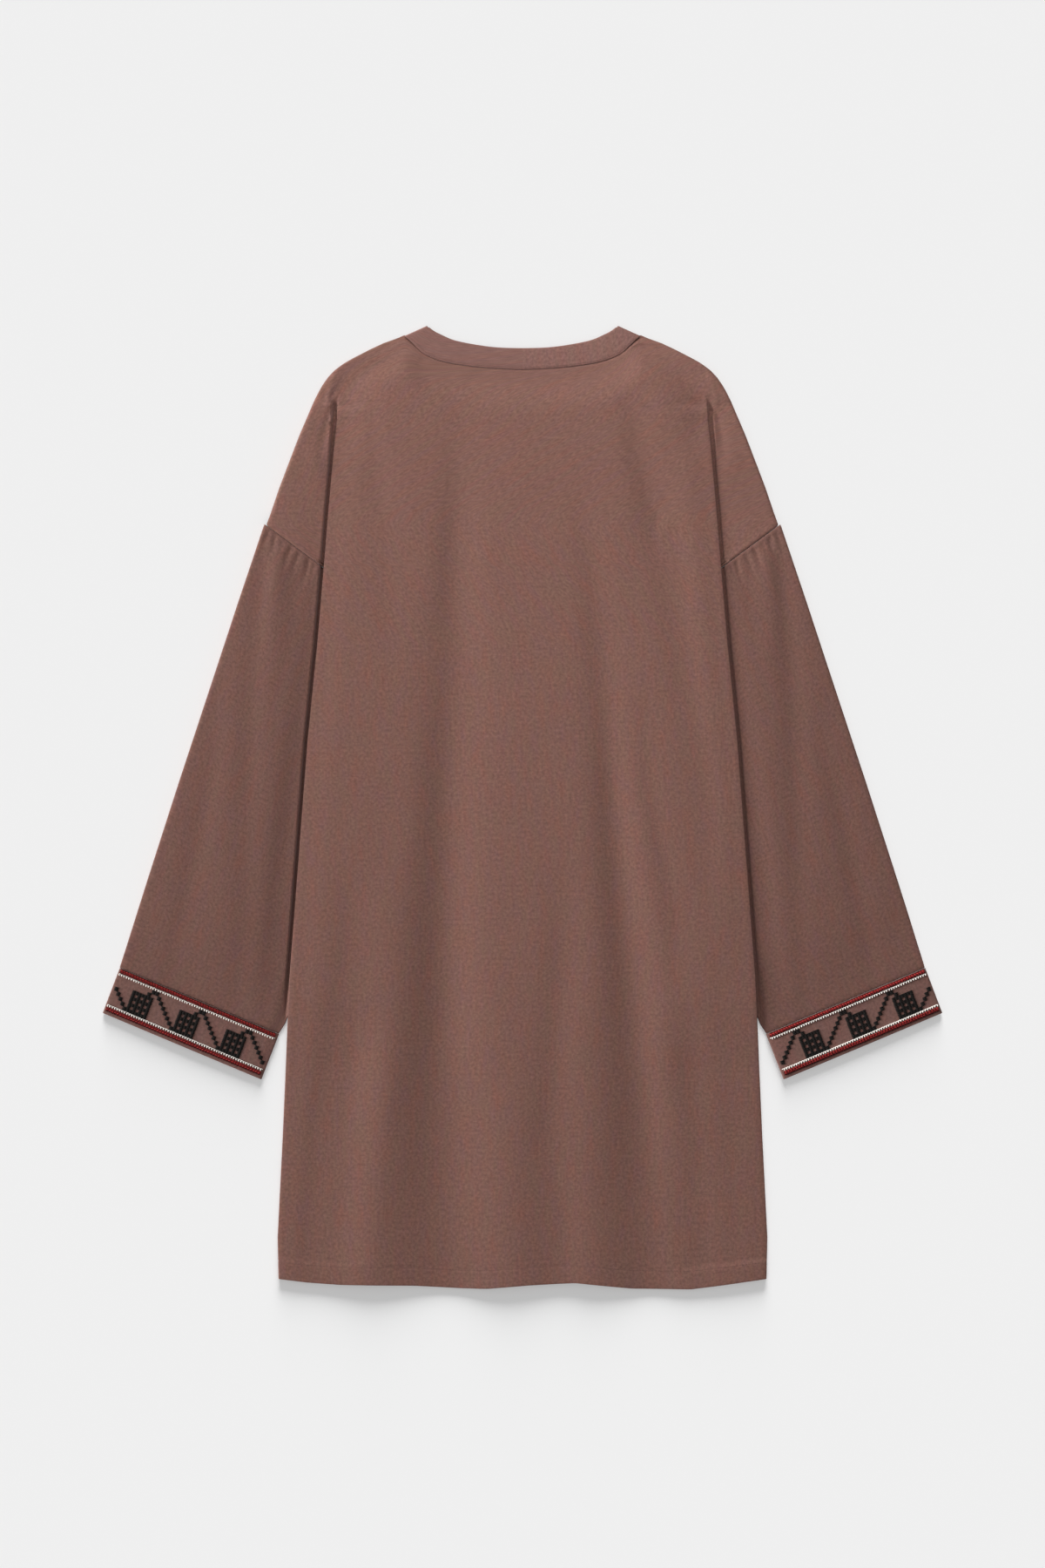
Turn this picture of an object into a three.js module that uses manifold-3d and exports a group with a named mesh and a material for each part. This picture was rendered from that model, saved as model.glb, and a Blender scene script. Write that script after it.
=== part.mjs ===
// A long-sleeved kurti that lies flat with its back up. Millimetres, +Z up, +Y from the hem to the neck,
// +X the wearer's right. The origin is at the middle of the footprint, on the surface that it lies on.
// Each layer is a grid of points on its middle surface, with a wall of cloth built round it.
import * as THREE from "three";
import { mergeVertices } from "three/addons/utils/BufferGeometryUtils.js";
import Module from "manifold-3d";

const wasm = await Module();
wasm.setup();

// Driving dimensions
const CLOTH = 1.1; // wall of one layer
const HEM_WALL = 1.5; // wall where the hem is turned up
const HEM_DEPTH = 17; // height of the turned hem
const PLY_GAP = 0.4; // air between layers that lie on each other
const SEAM_GAP = 0.3; // air between pieces that are sewn together
const HEM_Y = -465; // the hem at the side edge
const UNDERARM = { x: 100, y: 165 }; // where armhole, side seam and sleeve meet
const SHOULDER_TIP = { x: 252.5, y: 278.2 }; // where the armhole seam meets the outer edge
const BAND_WALL = 1.5; // neckband
const BAND_TURN = 1.0; // radius of the neckband's middle where it turns over the shoulder edge
const CUFF_WALL = 1.4;
const BRAID_WALL = 0.8;
const BODY_LOFT = 1.0; // how far the back stands off the front, in its troughs
const RIDGE_LOFT = 2.2; // more, on the soft ridges between the troughs
const NECK_SLOPE = 45; // over which the ridges rise from the neck seam
const SHOULDER_SLOPE = 30; // the same from the shoulder edge
const STACK_ROOM = 4; // how far the raised side of the back reaches past what is turned under
const STACK_SLOPE = 46; // and the width over which it comes down from there
const SLEEVE_LOFT = 2.4;
const SHOULDER_LOFT = 1.2;
const CUFF_LOFT = 0.9;
const SIDE_SLOPE = { from: 4, width: 26 }; // over which sleeves and shoulders rise beside the body
const FOLD_SLOPE = { from: 1.5, width: 6 }; // where they come down over the folded edge of the front
const HEAD_SLOPE = { from: 392, width: 15, edge: 5 }; // where the back rises above the pleats' heads
const HEM_WAVE_TOP = -380; // the hem's line starts to bend the rows here
const HEM_STEP = 4; // over which the wall grows to the hem's
const PITCH = CLOTH + PLY_GAP;
const PROBE = 0.5; // step for measuring a slope

// Colours
const BROWN = 0x815e56;
const BAND_BROWN = 0x836058;
const BRAID_RED = 0xa53234;
const BRAID_WHITE = 0xebe4dc;

// Half width of the body at the edge that shows, where the back turns under
const BODY_EDGE = [
  { y: 466, half: 99 },
  { y: 449, half: 132 },
  { y: 430, half: 161 },
  { y: 415, half: 176 },
  { y: 402.5, half: 182.3 },
  { y: 384.4, half: 183 },
  { y: 348.3, half: 186.6 },
  { y: 289.8, half: 191.8 },
  { y: 236.5, half: 196.1 },
  { y: 160.8, half: 202.5 },
  { y: 66.2, half: 212 },
  { y: -68.8, half: 222.3 },
  { y: -168.6, half: 229.9 },
  { y: -320.8, half: 236.5 },
  { y: -424, half: 241.7 },
  { y: -465, half: 240.8 },
];

// Half width at the outer edge of the shoulders, from beside the neckband to the armhole seam
const WING_EDGE = [
  { y: 464, half: 121 },
  { y: 458, half: 137.6 },
  { y: 451.5, half: 151.4 },
  { y: 441.2, half: 171.1 },
  { y: 430.9, half: 185.8 },
  { y: 417.1, half: 196.9 },
  { y: 401.6, half: 205.5 },
  { y: 367.2, half: 220.2 },
  { y: 315.6, half: 239.9 },
  { y: 281.2, half: 251.5 },
  { y: 278.2, half: 252.5 },
];

// How far the side cloth is turned under from that edge: nothing at the head of the pleat
const TURNED_UNDER = [
  { y: 466, depth: 0.3 },
  { y: 398, depth: 0.3 },
  { y: 380, depth: 6 },
  { y: 290, depth: 46 },
  { y: 165, depth: 102 },
  { y: -100, depth: 62 },
  { y: -465, depth: 50 },
];

// How far round the pleat has turned, as a share of the half turn that a whole fold has
const PLEAT_TURN = [
  { y: 466, share: 0.01 },
  { y: 416, share: 0.01 },
  { y: 408, share: 0.3 },
  { y: 400, share: 0.75 },
  { y: 390, share: 1 },
  { y: -465, share: 1 },
];

// Height of the back's side edge in layers: with the sleeve in the fold, and without it below
const EDGE_LAYERS = [
  { y: 466, layers: 5 },
  { y: -214, layers: 5 },
  { y: -256, layers: 3 },
  { y: -465, layers: 3 },
];

// The lower edge, as drops below HEM_Y
const HEM_LINE = [
  { x: -241, drop: 0 },
  { x: -212, drop: 3.6 },
  { x: -180, drop: 5.8 },
  { x: -108, drop: 6.6 },
  { x: -62, drop: 9.2 },
  { x: -36, drop: 9.8 },
  { x: 6, drop: 6.2 },
  { x: 52, drop: 3.9 },
  { x: 108, drop: 9.6 },
  { x: 166, drop: 10.4 },
  { x: 200, drop: 6 },
  { x: 241, drop: 0 },
];

// Soft troughs of the back, a row for each point of a trough's line
const TROUGHS = [
  { trough: "inner left", x: -81, y: 365, wide: 22, deep: 0.7 },
  { trough: "inner left", x: -70, y: 232, wide: 26, deep: 1 },
  { trough: "inner left", x: -84, y: 34, wide: 24, deep: 1 },
  { trough: "inner left", x: -104, y: -163, wide: 20, deep: 1 },
  { trough: "inner left", x: -100, y: -282, wide: 18, deep: 0.9 },
  { trough: "inner left", x: -120, y: -328, wide: 16, deep: 0.6 },
  { trough: "inner right", x: 61, y: 292, wide: 18, deep: 0.6 },
  { trough: "inner right", x: 71, y: 180, wide: 22, deep: 1 },
  { trough: "inner right", x: 80, y: -97, wide: 20, deep: 1 },
  { trough: "inner right", x: 91, y: -262, wide: 18, deep: 1 },
  { trough: "inner right", x: 100, y: -414, wide: 16, deep: 0.8 },
  { trough: "outer right", x: 97, y: 397, wide: 20, deep: 0.5 },
  { trough: "outer right", x: 131, y: 298, wide: 24, deep: 0.9 },
  { trough: "outer right", x: 144, y: 167, wide: 24, deep: 0.9 },
  { trough: "outer right", x: 183, y: 2, wide: 18, deep: 0.6 },
  { trough: "outer left", x: -178, y: -77, wide: 16, deep: 0.6 },
  { trough: "outer left", x: -180, y: -229, wide: 18, deep: 0.9 },
  { trough: "outer left", x: -140, y: -394, wide: 16, deep: 0.6 },
  { trough: "lower middle", x: 25, y: -130, wide: 16, deep: 0.5 },
  { trough: "lower middle", x: 32, y: -229, wide: 18, deep: 0.9 },
  { trough: "lower middle", x: 18, y: -394, wide: 16, deep: 0.6 },
];

// The sleeve's two edges between the armhole and the cuff, by their share of the way down
const SLEEVE_EDGES = [
  { share: 0.03, outerX: 257.4, outerY: 271.4, innerX: 105.5, innerY: 154 },
  { share: 0.16, outerX: 280.4, outerY: 203, innerX: 128, innerY: 108 },
  { share: 0.36, outerX: 309.4, outerY: 115, innerX: 160, innerY: 31 },
  { share: 0.58, outerX: 339.7, outerY: 23.2, innerX: 190, innerY: -62 },
  { share: 0.8, outerX: 370, outerY: -71, innerX: 216.5, innerY: -155 },
];
const SLEEVE_HEAD_STEP = 2.4; // how far the sleeve's head stands out past the shoulder at its seam

// Corners of the cuff
const CUFF = {
  topOuter: { x: 397.4, y: -157.3 },
  topInner: { x: 239.9, y: -222.8 },
  bottomOuter: { x: 414.6, y: -202.6 },
  bottomInner: { x: 257.6, y: -268.4 },
};

// Braids on a cuff, as distances from its top edge
const BRAIDS = [
  { name: "trim_red_upper", from: 1.2, to: 5.3, colour: BRAID_RED },
  { name: "trim_white_upper", from: 5.7, to: 8.3, colour: BRAID_WHITE },
  { name: "trim_white_lower", from: 38.3, to: 41, colour: BRAID_WHITE },
  { name: "trim_red_lower", from: 41.4, to: 45.4, colour: BRAID_RED },
];

// The neckband's two edges over the right half of the back, from the middle to the shoulder edge
const NECK_BACK = [
  { innerX: 0, innerY: 453.2, outerX: 0, outerY: 432.1 },
  { innerX: 24, innerY: 453.9, outerX: 28, outerY: 433.3 },
  { innerX: 46.4, innerY: 456.7, outerX: 54, outerY: 435.8 },
  { innerX: 67.1, innerY: 461, outerX: 78, outerY: 440 },
  { innerX: 80, innerY: 466.4, outerX: 96.3, outerY: 447.2 },
  { innerX: 88, innerY: 470.6, outerX: 106.5, outerY: 456 },
  { innerX: 94.2, innerY: 475.6, outerX: 116.1, outerY: 465.7 },
];

// The same over the right half of the front, from the shoulder edge to the middle
const NECK_FRONT = [
  { innerX: 94.2, innerY: 475.6, outerX: 116.1, outerY: 465.7 },
  { innerX: 92, innerY: 448, outerX: 114.5, outerY: 442 },
  { innerX: 84.5, innerY: 412, outerX: 107, outerY: 403 },
  { innerX: 70, innerY: 375, outerX: 90, outerY: 360 },
  { innerX: 46, innerY: 344, outerX: 58, outerY: 325 },
  { innerX: 20, innerY: 329, outerX: 25, outerY: 307.5 },
  { innerX: 0, innerY: 326, outerX: 0, outerY: 304 },
];

// Rows of the panels: bands of equal steps from one height to the next
const HEM_TOP = HEM_Y + HEM_DEPTH;
const SHOULDER_ROWS = [
  { from: 464, to: 430, steps: 3 },
  { from: 430, to: 384, steps: 7 },
  { from: 384, to: 278.2, steps: 4 },
  { from: 278.2, to: 256, steps: 1 },
  { from: 256, to: 236, steps: 3 },
  { from: 236, to: 168, steps: 3 },
];
const HEM_ROWS = [
  { from: HEM_TOP + HEM_STEP, to: HEM_TOP, steps: 1 },
  { from: HEM_TOP, to: HEM_Y, steps: 1 },
];
const BACK_ROWS = [
  ...SHOULDER_ROWS,
  { from: 168, to: -205, steps: 9 },
  { from: -205, to: -265, steps: 3 },
  { from: -265, to: HEM_TOP + HEM_STEP, steps: 5 },
  ...HEM_ROWS,
];
const FRONT_ROWS = [
  ...SHOULDER_ROWS,
  { from: 168, to: -205, steps: 5 },
  { from: -205, to: HEM_TOP + HEM_STEP, steps: 3 },
  ...HEM_ROWS,
];

// Cells across half a panel: the flat middle, each turn, the strip turned under, and the shoulder
const BACK_CELLS = { middle: 10, turn: 4, under: 2 };
const FRONT_CELLS = { middle: 3, turn: 3, under: 1 };
// Places across a shoulder, from the body's edge, where it comes down over the folded edge of the front
const NEAR_EDGE = [-2, 1.5, 3.5, 5.5, 8];
const SHOULDER_CELLS = NEAR_EDGE.length + 2;

const clamp01 = (value) => Math.min(1, Math.max(0, value));

const smooth = (value) => {
  const t = clamp01(value);
  return t * t * (3 - 2 * t);
};

const corner2 = ({ x, y }) => new THREE.Vector2(x, y);

const mix = (a, b, share) => a + (b - a) * share;

// The value that a table has between two of its rows, on straight lines
function between(table, key, at, field) {
  const rising = table[table.length - 1][key] > table[0][key];
  const rows = rising ? table : [...table].reverse();
  let upper = rows.findIndex((row) => row[key] >= at);
  if (upper < 0) return rows[rows.length - 1][field];
  if (upper === 0) return rows[0][field];
  const low = rows[upper - 1];
  const high = rows[upper];
  return mix(low[field], high[field], (at - low[key]) / (high[key] - low[key]));
}

// A curve through two named columns of a table
function curveThrough(table, xField, yField) {
  const points = table.map((row) => new THREE.Vector2(row[xField], row[yField]));
  return new THREE.SplineCurve(points);
}

// The neckband's end at a shoulder edge: its corners, the way beyond it and the room that its turn takes
function neckTip() {
  const tip = NECK_BACK[NECK_BACK.length - 1];
  const inner = new THREE.Vector2(tip.innerX, tip.innerY);
  const fold = new THREE.Vector2(tip.outerX, tip.outerY).sub(inner).normalize();
  return { inner, beyond: new THREE.Vector2(-fold.y, fold.x), inset: BAND_TURN + BAND_WALL / 2 };
}
const NECK_TIP = neckTip();

const bodyEdge = (y) => between(BODY_EDGE, "y", y, "half");
const pleatTurn = (y) => Math.PI * between(PLEAT_TURN, "y", y, "share");
const turnedUnder = (y) => between(TURNED_UNDER, "y", y, "depth");

// The wall at a height: thicker in the turned hem
function wallAt(y) {
  return mix(CLOTH, HEM_WALL, smooth((HEM_TOP + HEM_STEP - y) / HEM_STEP));
}

// Radius of the middle of a fold. The cloth in a turn keeps its length while the pleat opens out
const foldRadius = (y) => ((wallAt(y) + PLY_GAP) / 2) * (Math.PI / pleatTurn(y));

// How high a pleat carries its last layer above its first
function pleatRise(y) {
  const turn = pleatTurn(y);
  return 2 * foldRadius(y) * (1 - Math.cos(turn)) + turnedUnder(y) * Math.sin(turn);
}

// Outer edge of a shoulder, and below it the armhole seam
function wingEdge(y) {
  if (y >= SHOULDER_TIP.y) return between(WING_EDGE, "y", y, "half");
  const share = (y - UNDERARM.y) / (SHOULDER_TIP.y - UNDERARM.y);
  return mix(UNDERARM.x, SHOULDER_TIP.x, share);
}

// Middle of the lower of the two layers that come out over the folded edge of the front
function lowerLevel(x, y) {
  const outside = Math.abs(x) - bodyEdge(y);
  const comeDown = smooth((outside - FOLD_SLOPE.from) / FOLD_SLOPE.width);
  return CLOTH / 2 + pleatRise(y) * (1 - comeDown);
}

// How far a point lies inside the outer edge of the shoulder
const insideShoulder = (x, y) => wingEdge(Math.max(y, SHOULDER_TIP.y)) - Math.abs(x);

// How far the back stands off the front above the heads of the pleats, nothing at the shoulder edge
function headLoft(x, y) {
  const aboveHead = smooth((y - HEAD_SLOPE.from) / HEAD_SLOPE.width);
  return BODY_LOFT * aboveHead * smooth(insideShoulder(x, y) / HEAD_SLOPE.edge);
}

// How far a sleeve or shoulder swells, nothing at the body's edge
function sideLoft(x, y, most) {
  const outside = Math.abs(x) - bodyEdge(y);
  return most * smooth((outside - SIDE_SLOPE.from) / SIDE_SLOPE.width);
}

// Shortest way from a point to a line of table rows, with the row's values there
function nearestOn(rows, x, y) {
  let best = { distance: Infinity };
  for (let i = 1; i < rows.length; i += 1) {
    const a = rows[i - 1];
    const b = rows[i];
    const along = new THREE.Vector2(b.x - a.x, b.y - a.y);
    const share = clamp01(((x - a.x) * along.x + (y - a.y) * along.y) / along.lengthSq());
    const distance = Math.hypot(x - mix(a.x, b.x, share), y - mix(a.y, b.y, share));
    if (distance < best.distance) {
      best = { distance, wide: mix(a.wide, b.wide, share), deep: mix(a.deep, b.deep, share) };
    }
  }
  return best;
}

const TROUGH_LINES = [...new Set(TROUGHS.map((row) => row.trough))].map((name) =>
  TROUGHS.filter((row) => row.trough === name),
);

// How far the back stands off the front away from its sides
function bodyLoft(x, y) {
  const belowNeck = between(NECK_BACK, "outerX", Math.abs(x), "outerY") - y;
  let ridge = smooth(insideShoulder(x, y) / SHOULDER_SLOPE) * smooth(belowNeck / NECK_SLOPE);
  for (const line of TROUGH_LINES) {
    const { distance, wide, deep } = nearestOn(line, x, y);
    ridge -= deep * Math.exp(-((distance / wide) ** 2));
  }
  return BODY_LOFT + RIDGE_LOFT * clamp01(ridge);
}

// Middle of the back at the edge that shows
function backEdgeLevel(y) {
  const pitch = wallAt(y) + PLY_GAP;
  const layers = between(EDGE_LAYERS, "y", y, "layers");
  const underPleat = pleatRise(y) / (2 * pitch);
  return wallAt(y) / 2 + pitch * (1 + (layers - 1) * underPleat) + headLoft(0, y);
}

// Middle of the back: high over what is turned under, and lower towards its middle
function backLevel(x, y) {
  const side = Math.abs(x);
  const fromStack = side - (bodyEdge(y) - turnedUnder(y) - STACK_ROOM);
  const onStack = smooth(1 + fromStack / STACK_SLOPE);
  const level = (wallAt(y) * 3) / 2 + PLY_GAP + bodyLoft(x, y);
  return mix(level, backEdgeLevel(y), onStack);
}

const PANELS = {
  front: {
    turnsUp: 1,
    cells: FRONT_CELLS,
    rows: FRONT_ROWS,
    middleLevel: (x, y) => wallAt(y) / 2,
    shoulderLevel: (x, y) => lowerLevel(x, y),
  },
  back: {
    turnsUp: -1,
    cells: BACK_CELLS,
    rows: BACK_ROWS,
    middleLevel: backLevel,
    shoulderLevel: (x, y) => lowerLevel(x, y) + PITCH + headLoft(x, y) + sideLoft(x, y, SHOULDER_LOFT),
  },
};

// A point of a section: its place and the direction that the wall's outer face looks to
const sectionPoint = (x, z, lean) => ({ x, z, nx: -Math.sin(lean), nz: Math.cos(lean) });

// Points on a level function at distances from the middle
function levelPoints(level, y, ways) {
  return ways.map((x) => {
    const slope = (level(x + PROBE, y) - level(x - PROBE, y)) / (2 * PROBE);
    return sectionPoint(x, level(x, y), Math.atan(slope));
  });
}

const evenWays = (from, to, cells) => Array.from({ length: cells + 1 }, (_, i) => mix(from, to, i / cells));

// Distances across a shoulder from its pleat to its outer edge
function shoulderWays(from, y) {
  const to = wingEdge(y);
  const edge = bodyEdge(y);
  const far = edge + NEAR_EDGE[NEAR_EDGE.length - 1];
  const wanted = [...NEAR_EDGE.map((way) => edge + way), mix(far, to, 0.5), to];
  const least = (to - from) / (4 * SHOULDER_CELLS);
  return wanted.map((way, i) => {
    const lowest = from + least * (i + 1);
    const highest = to - least * (SHOULDER_CELLS - 1 - i);
    return Math.min(Math.max(way, lowest), highest);
  });
}

// Points of a turn from one heading to another, both from the way outward
function turnPoints(start, radius, fromAngle, toAngle, sense, cells) {
  const points = [];
  for (let i = 1; i <= cells; i += 1) {
    const angle = mix(fromAngle, toAngle, i / cells);
    const turned = sense * Math.sign(toAngle - fromAngle);
    const x = start.x + Math.sign(toAngle - fromAngle) * radius * (Math.sin(angle) - Math.sin(fromAngle));
    const z = start.z + turned * radius * (Math.cos(fromAngle) - Math.cos(angle));
    points.push(sectionPoint(x, z, sense * angle));
  }
  return points;
}

// Half a row of a panel, from its middle out: flat, turned, turned under, turned back, shoulder
function halfRow(panel, y) {
  const { turnsUp, cells } = panel;
  const radius = foldRadius(y);
  const turn = pleatTurn(y);
  const depth = turnedUnder(y);
  const turnStart = bodyEdge(y) - radius * Math.sin(Math.min(turn, Math.PI / 2)) - wallAt(y) / 2;
  const points = levelPoints(panel.middleLevel, y, evenWays(0, turnStart, cells.middle));
  const outer = points[points.length - 1];
  points[points.length - 1] = sectionPoint(outer.x, outer.z, 0);
  points.push(...turnPoints(outer, radius, 0, turn, turnsUp, cells.turn));
  const edge = points[points.length - 1];
  for (let i = 1; i <= cells.under; i += 1) {
    const way = (depth * i) / cells.under;
    const x = edge.x + way * Math.cos(turn);
    const z = edge.z + turnsUp * way * Math.sin(turn);
    points.push(sectionPoint(x, z, turnsUp * turn));
  }
  const hasShoulder = y > UNDERARM.y;
  const absent = cells.turn + SHOULDER_CELLS;
  if (!hasShoulder) return [...points, ...Array(absent).fill(null)];
  const inner = points[points.length - 1];
  points.push(...turnPoints(inner, radius, turn, 0, turnsUp, cells.turn));
  const back = points[points.length - 1];
  return [...points, ...levelPoints(panel.shoulderLevel, y, shoulderWays(back.x, y))];
}

// Heights of a panel's rows, from the top down
function rowHeights(bands) {
  const heights = [bands[0].from];
  for (const { from, to, steps } of bands) {
    for (let i = 1; i <= steps; i += 1) heights.push(mix(from, to, i / steps));
  }
  return heights;
}

// A row's points in space, with the hem's line let in over the lowest rows
function placeRow(points, y) {
  const intoHem = smooth((HEM_WAVE_TOP - y) / (HEM_WAVE_TOP - HEM_Y));
  return points.map((point) => {
    if (!point) return null;
    const drop = between(HEM_LINE, "x", point.x, "drop") * intoHem;
    return {
      at: new THREE.Vector3(point.x, y - drop, point.z),
      out: new THREE.Vector3(point.nx, 0, point.nz),
      half: wallAt(y) / 2,
    };
  });
}

// A panel's grid of middle points: each row runs from the left end to the right end
function panelGrid(panel) {
  return rowHeights(panel.rows).map((y) => {
    const right = halfRow(panel, y);
    const left = halfRow({ ...panel, middleLevel: (x, at) => panel.middleLevel(-x, at) }, y)
      .slice(1)
      .reverse()
      .map((point) => point && { ...point, x: -point.x, nx: -point.nx });
    return placeRow([...left, ...right], y);
  });
}

// A closed wall round a grid of middle points. A cell with a missing corner is left out
function wallRound(grid, { rowsClose = false, columnsClose = false } = {}) {
  const rows = grid.length;
  const columns = grid[0].length;
  const positions = [];
  const numbers = grid.map((row) =>
    row.map((point) => {
      if (!point) return null;
      const offset = point.out.clone().multiplyScalar(point.half);
      const above = point.at.clone().add(offset);
      const below = point.at.clone().sub(offset);
      positions.push(above.x, above.y, above.z, below.x, below.y, below.z);
      return positions.length / 3 - 2;
    }),
  );
  const rowCells = rowsClose ? rows : rows - 1;
  const columnCells = columnsClose ? columns : columns - 1;
  const corner = (r, c) => numbers[r % rows][c % columns];
  const isCell = (r, c) => {
    const row = rowsClose ? (r + rows) % rows : r;
    const column = columnsClose ? (c + columns) % columns : c;
    if (row < 0 || row >= rowCells || column < 0 || column >= columnCells) return false;
    const corners = [corner(row, column), corner(row, column + 1)];
    corners.push(corner(row + 1, column), corner(row + 1, column + 1));
    return corners.every((number) => number !== null);
  };
  const triangles = [];
  const side = (a, b) => triangles.push(a, a + 1, b, b, a + 1, b + 1);
  for (let r = 0; r < rowCells; r += 1) {
    for (let c = 0; c < columnCells; c += 1) {
      if (!isCell(r, c)) continue;
      const topLeft = corner(r, c);
      const topRight = corner(r, c + 1);
      const lowLeft = corner(r + 1, c);
      const lowRight = corner(r + 1, c + 1);
      triangles.push(topLeft, lowLeft, topRight, topRight, lowLeft, lowRight);
      triangles.push(topLeft + 1, topRight + 1, lowLeft + 1);
      triangles.push(topRight + 1, lowRight + 1, lowLeft + 1);
      if (!isCell(r - 1, c)) side(topRight, topLeft);
      if (!isCell(r + 1, c)) side(lowLeft, lowRight);
      if (!isCell(r, c - 1)) side(topLeft, lowLeft);
      if (!isCell(r, c + 1)) side(lowRight, topRight);
    }
  }
  const geometry = new THREE.BufferGeometry();
  geometry.setAttribute("position", new THREE.Float32BufferAttribute(positions, 3));
  geometry.setIndex(triangles);
  return geometry;
}

function solidOf(geometry) {
  const bare = geometry.clone();
  bare.deleteAttribute("normal");
  bare.deleteAttribute("uv");
  const merged = mergeVertices(bare, 1e-4);
  return new wasm.Manifold(
    new wasm.Mesh({
      numProp: 3,
      vertProperties: new Float32Array(merged.attributes.position.array),
      triVerts: new Uint32Array(merged.index.array),
    }),
  );
}

function geometryOf(solid) {
  const mesh = solid.getMesh();
  const geometry = new THREE.BufferGeometry();
  geometry.setAttribute("position", new THREE.BufferAttribute(mesh.vertProperties, 3));
  geometry.setIndex(new THREE.BufferAttribute(mesh.triVerts, 1));
  return geometry;
}

// Pairs of points on the neckband's two edges, kept back from the shoulder edge by the band's turn there
function neckStations(table) {
  const steps = 11;
  const innerEdge = curveThrough(table, "innerX", "innerY").getPoints(steps);
  const outerEdge = curveThrough(table, "outerX", "outerY").getPoints(steps);
  const keepBack = (point) => {
    const past = point.clone().sub(NECK_TIP.inner).dot(NECK_TIP.beyond) + NECK_TIP.inset;
    return past > 0 ? point.clone().addScaledVector(NECK_TIP.beyond, -past) : point;
  };
  return innerEdge.map((inner, i) => ({ inner: keepBack(inner), outer: keepBack(outerEdge[i]) }));
}

// An upright prism that takes away what lies inside the neckband's outer edge
function neckCutter(table) {
  const edge = neckStations(table).map((station) => station.outer);
  const fromMiddle = edge[0].x < edge[edge.length - 1].x ? edge : edge.reverse();
  const right = fromMiddle.map((point, i, all) => {
    const next = all[Math.min(i + 1, all.length - 1)];
    const last = all[Math.max(i - 1, 0)];
    const way = next.clone().sub(last).normalize();
    return point.clone().add(new THREE.Vector2(way.y, -way.x).multiplyScalar(SEAM_GAP));
  });
  const left = right.slice(1).map((point) => new THREE.Vector2(-point.x, point.y)).reverse();
  const above = 500;
  const ends = right[right.length - 1].x;
  const outline = [new THREE.Vector2(-ends, above), ...left, ...right, new THREE.Vector2(ends, above)];
  const deep = 40;
  const shape = new THREE.Shape(outline);
  const geometry = new THREE.ExtrudeGeometry(shape, { depth: deep, bevelEnabled: false });
  geometry.translate(0, 0, -deep / 2);
  return solidOf(geometry);
}

function panelGeometry(panel, neckTable) {
  const sheet = solidOf(wallRound(panelGrid(panel)));
  return geometryOf(sheet.subtract(neckCutter(neckTable)));
}

// A flattened tube through sections. Each has an inner and an outer edge point, and the distances from
// the inner one at which its upper and lower layers have a point
function flatTube(sections, { half, turnCells, levels }) {
  const radius = levels.fold;
  const grid = sections.map(({ inner, outer, ways }) => {
    const across = outer.clone().sub(inner).normalize();
    const first = ways[0];
    const last = ways[ways.length - 1];
    const spot = (way) => inner.clone().addScaledVector(across, way);
    const place = (way, z, lean) => ({
      at: new THREE.Vector3(spot(way).x, spot(way).y, z),
      out: new THREE.Vector3(-across.x * Math.sin(lean), -across.y * Math.sin(lean), Math.cos(lean)),
      half,
    });
    const lowerAt = (way) => levels.lower(spot(way).x, spot(way).y);
    const upperAt = (way) => {
      const swell = levels.swell((way - first) / (last - first), spot(way).x, spot(way).y);
      return lowerAt(way) + 2 * radius + swell;
    };
    const leanAt = (way, level) => Math.atan((level(way + PROBE) - level(way - PROBE)) / (2 * PROBE));
    const points = [];
    for (const way of ways) {
      const lean = way === first || way === last ? 0 : leanAt(way, upperAt);
      points.push(place(way, upperAt(way), lean));
    }
    for (let i = 1; i < turnCells; i += 1) {
      const angle = (Math.PI * i) / turnCells;
      const z = lowerAt(last) + radius * (1 + Math.cos(angle));
      points.push(place(last + radius * Math.sin(angle), z, -angle));
    }
    for (const way of [...ways].reverse()) {
      const lean = way === first || way === last ? 0 : leanAt(way, lowerAt);
      points.push(place(way, lowerAt(way), lean + Math.PI));
    }
    for (let i = 1; i < turnCells; i += 1) {
      const angle = (Math.PI * i) / turnCells;
      const z = lowerAt(first) + radius * (1 - Math.cos(angle));
      points.push(place(first - radius * Math.sin(angle), z, Math.PI - angle));
    }
    return points;
  });
  return wallRound(grid, { columnsClose: true });
}

// Distances across a sleeve, close together where it comes down over the folded edge of the front
function sleeveWays(inner, outer) {
  const inset = PITCH / 2 + CLOTH / 2;
  const length = inner.distanceTo(outer);
  const isOutside = (way) => {
    const spot = inner.clone().lerp(outer, way / length);
    return spot.x > bodyEdge(spot.y);
  };
  let crossing = inset;
  while (!isOutside(crossing)) crossing += 0.25;
  const nearEdge = [-3, 1.5, 3.5, 5.5, 8, 12];
  const edge = Math.max(crossing, inset + 6);
  const hidden = [0, 0.5].map((share) => mix(inset, edge + nearEdge[0], share));
  const far = edge + nearEdge[nearEdge.length - 1];
  const shown = [1, 2, 3, 4, 5, 6].map((cell) => mix(far, length - inset, cell / 6));
  return [...hidden, ...nearEdge.map((way) => edge + way), ...shown];
}

// A row of the sleeve's edges on the line between two points, moved along the sleeve by one seam gap
function sleeveEndRow(share, outer, inner, towardsCuff) {
  const way = outer.clone().sub(inner).normalize();
  const shift = new THREE.Vector2(way.y, -way.x).multiplyScalar(SEAM_GAP * towardsCuff);
  const [outerX, outerY] = outer.clone().add(shift);
  const [innerX, innerY] = inner.clone().add(shift);
  return { share, outerX, outerY, innerX, innerY };
}

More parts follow.
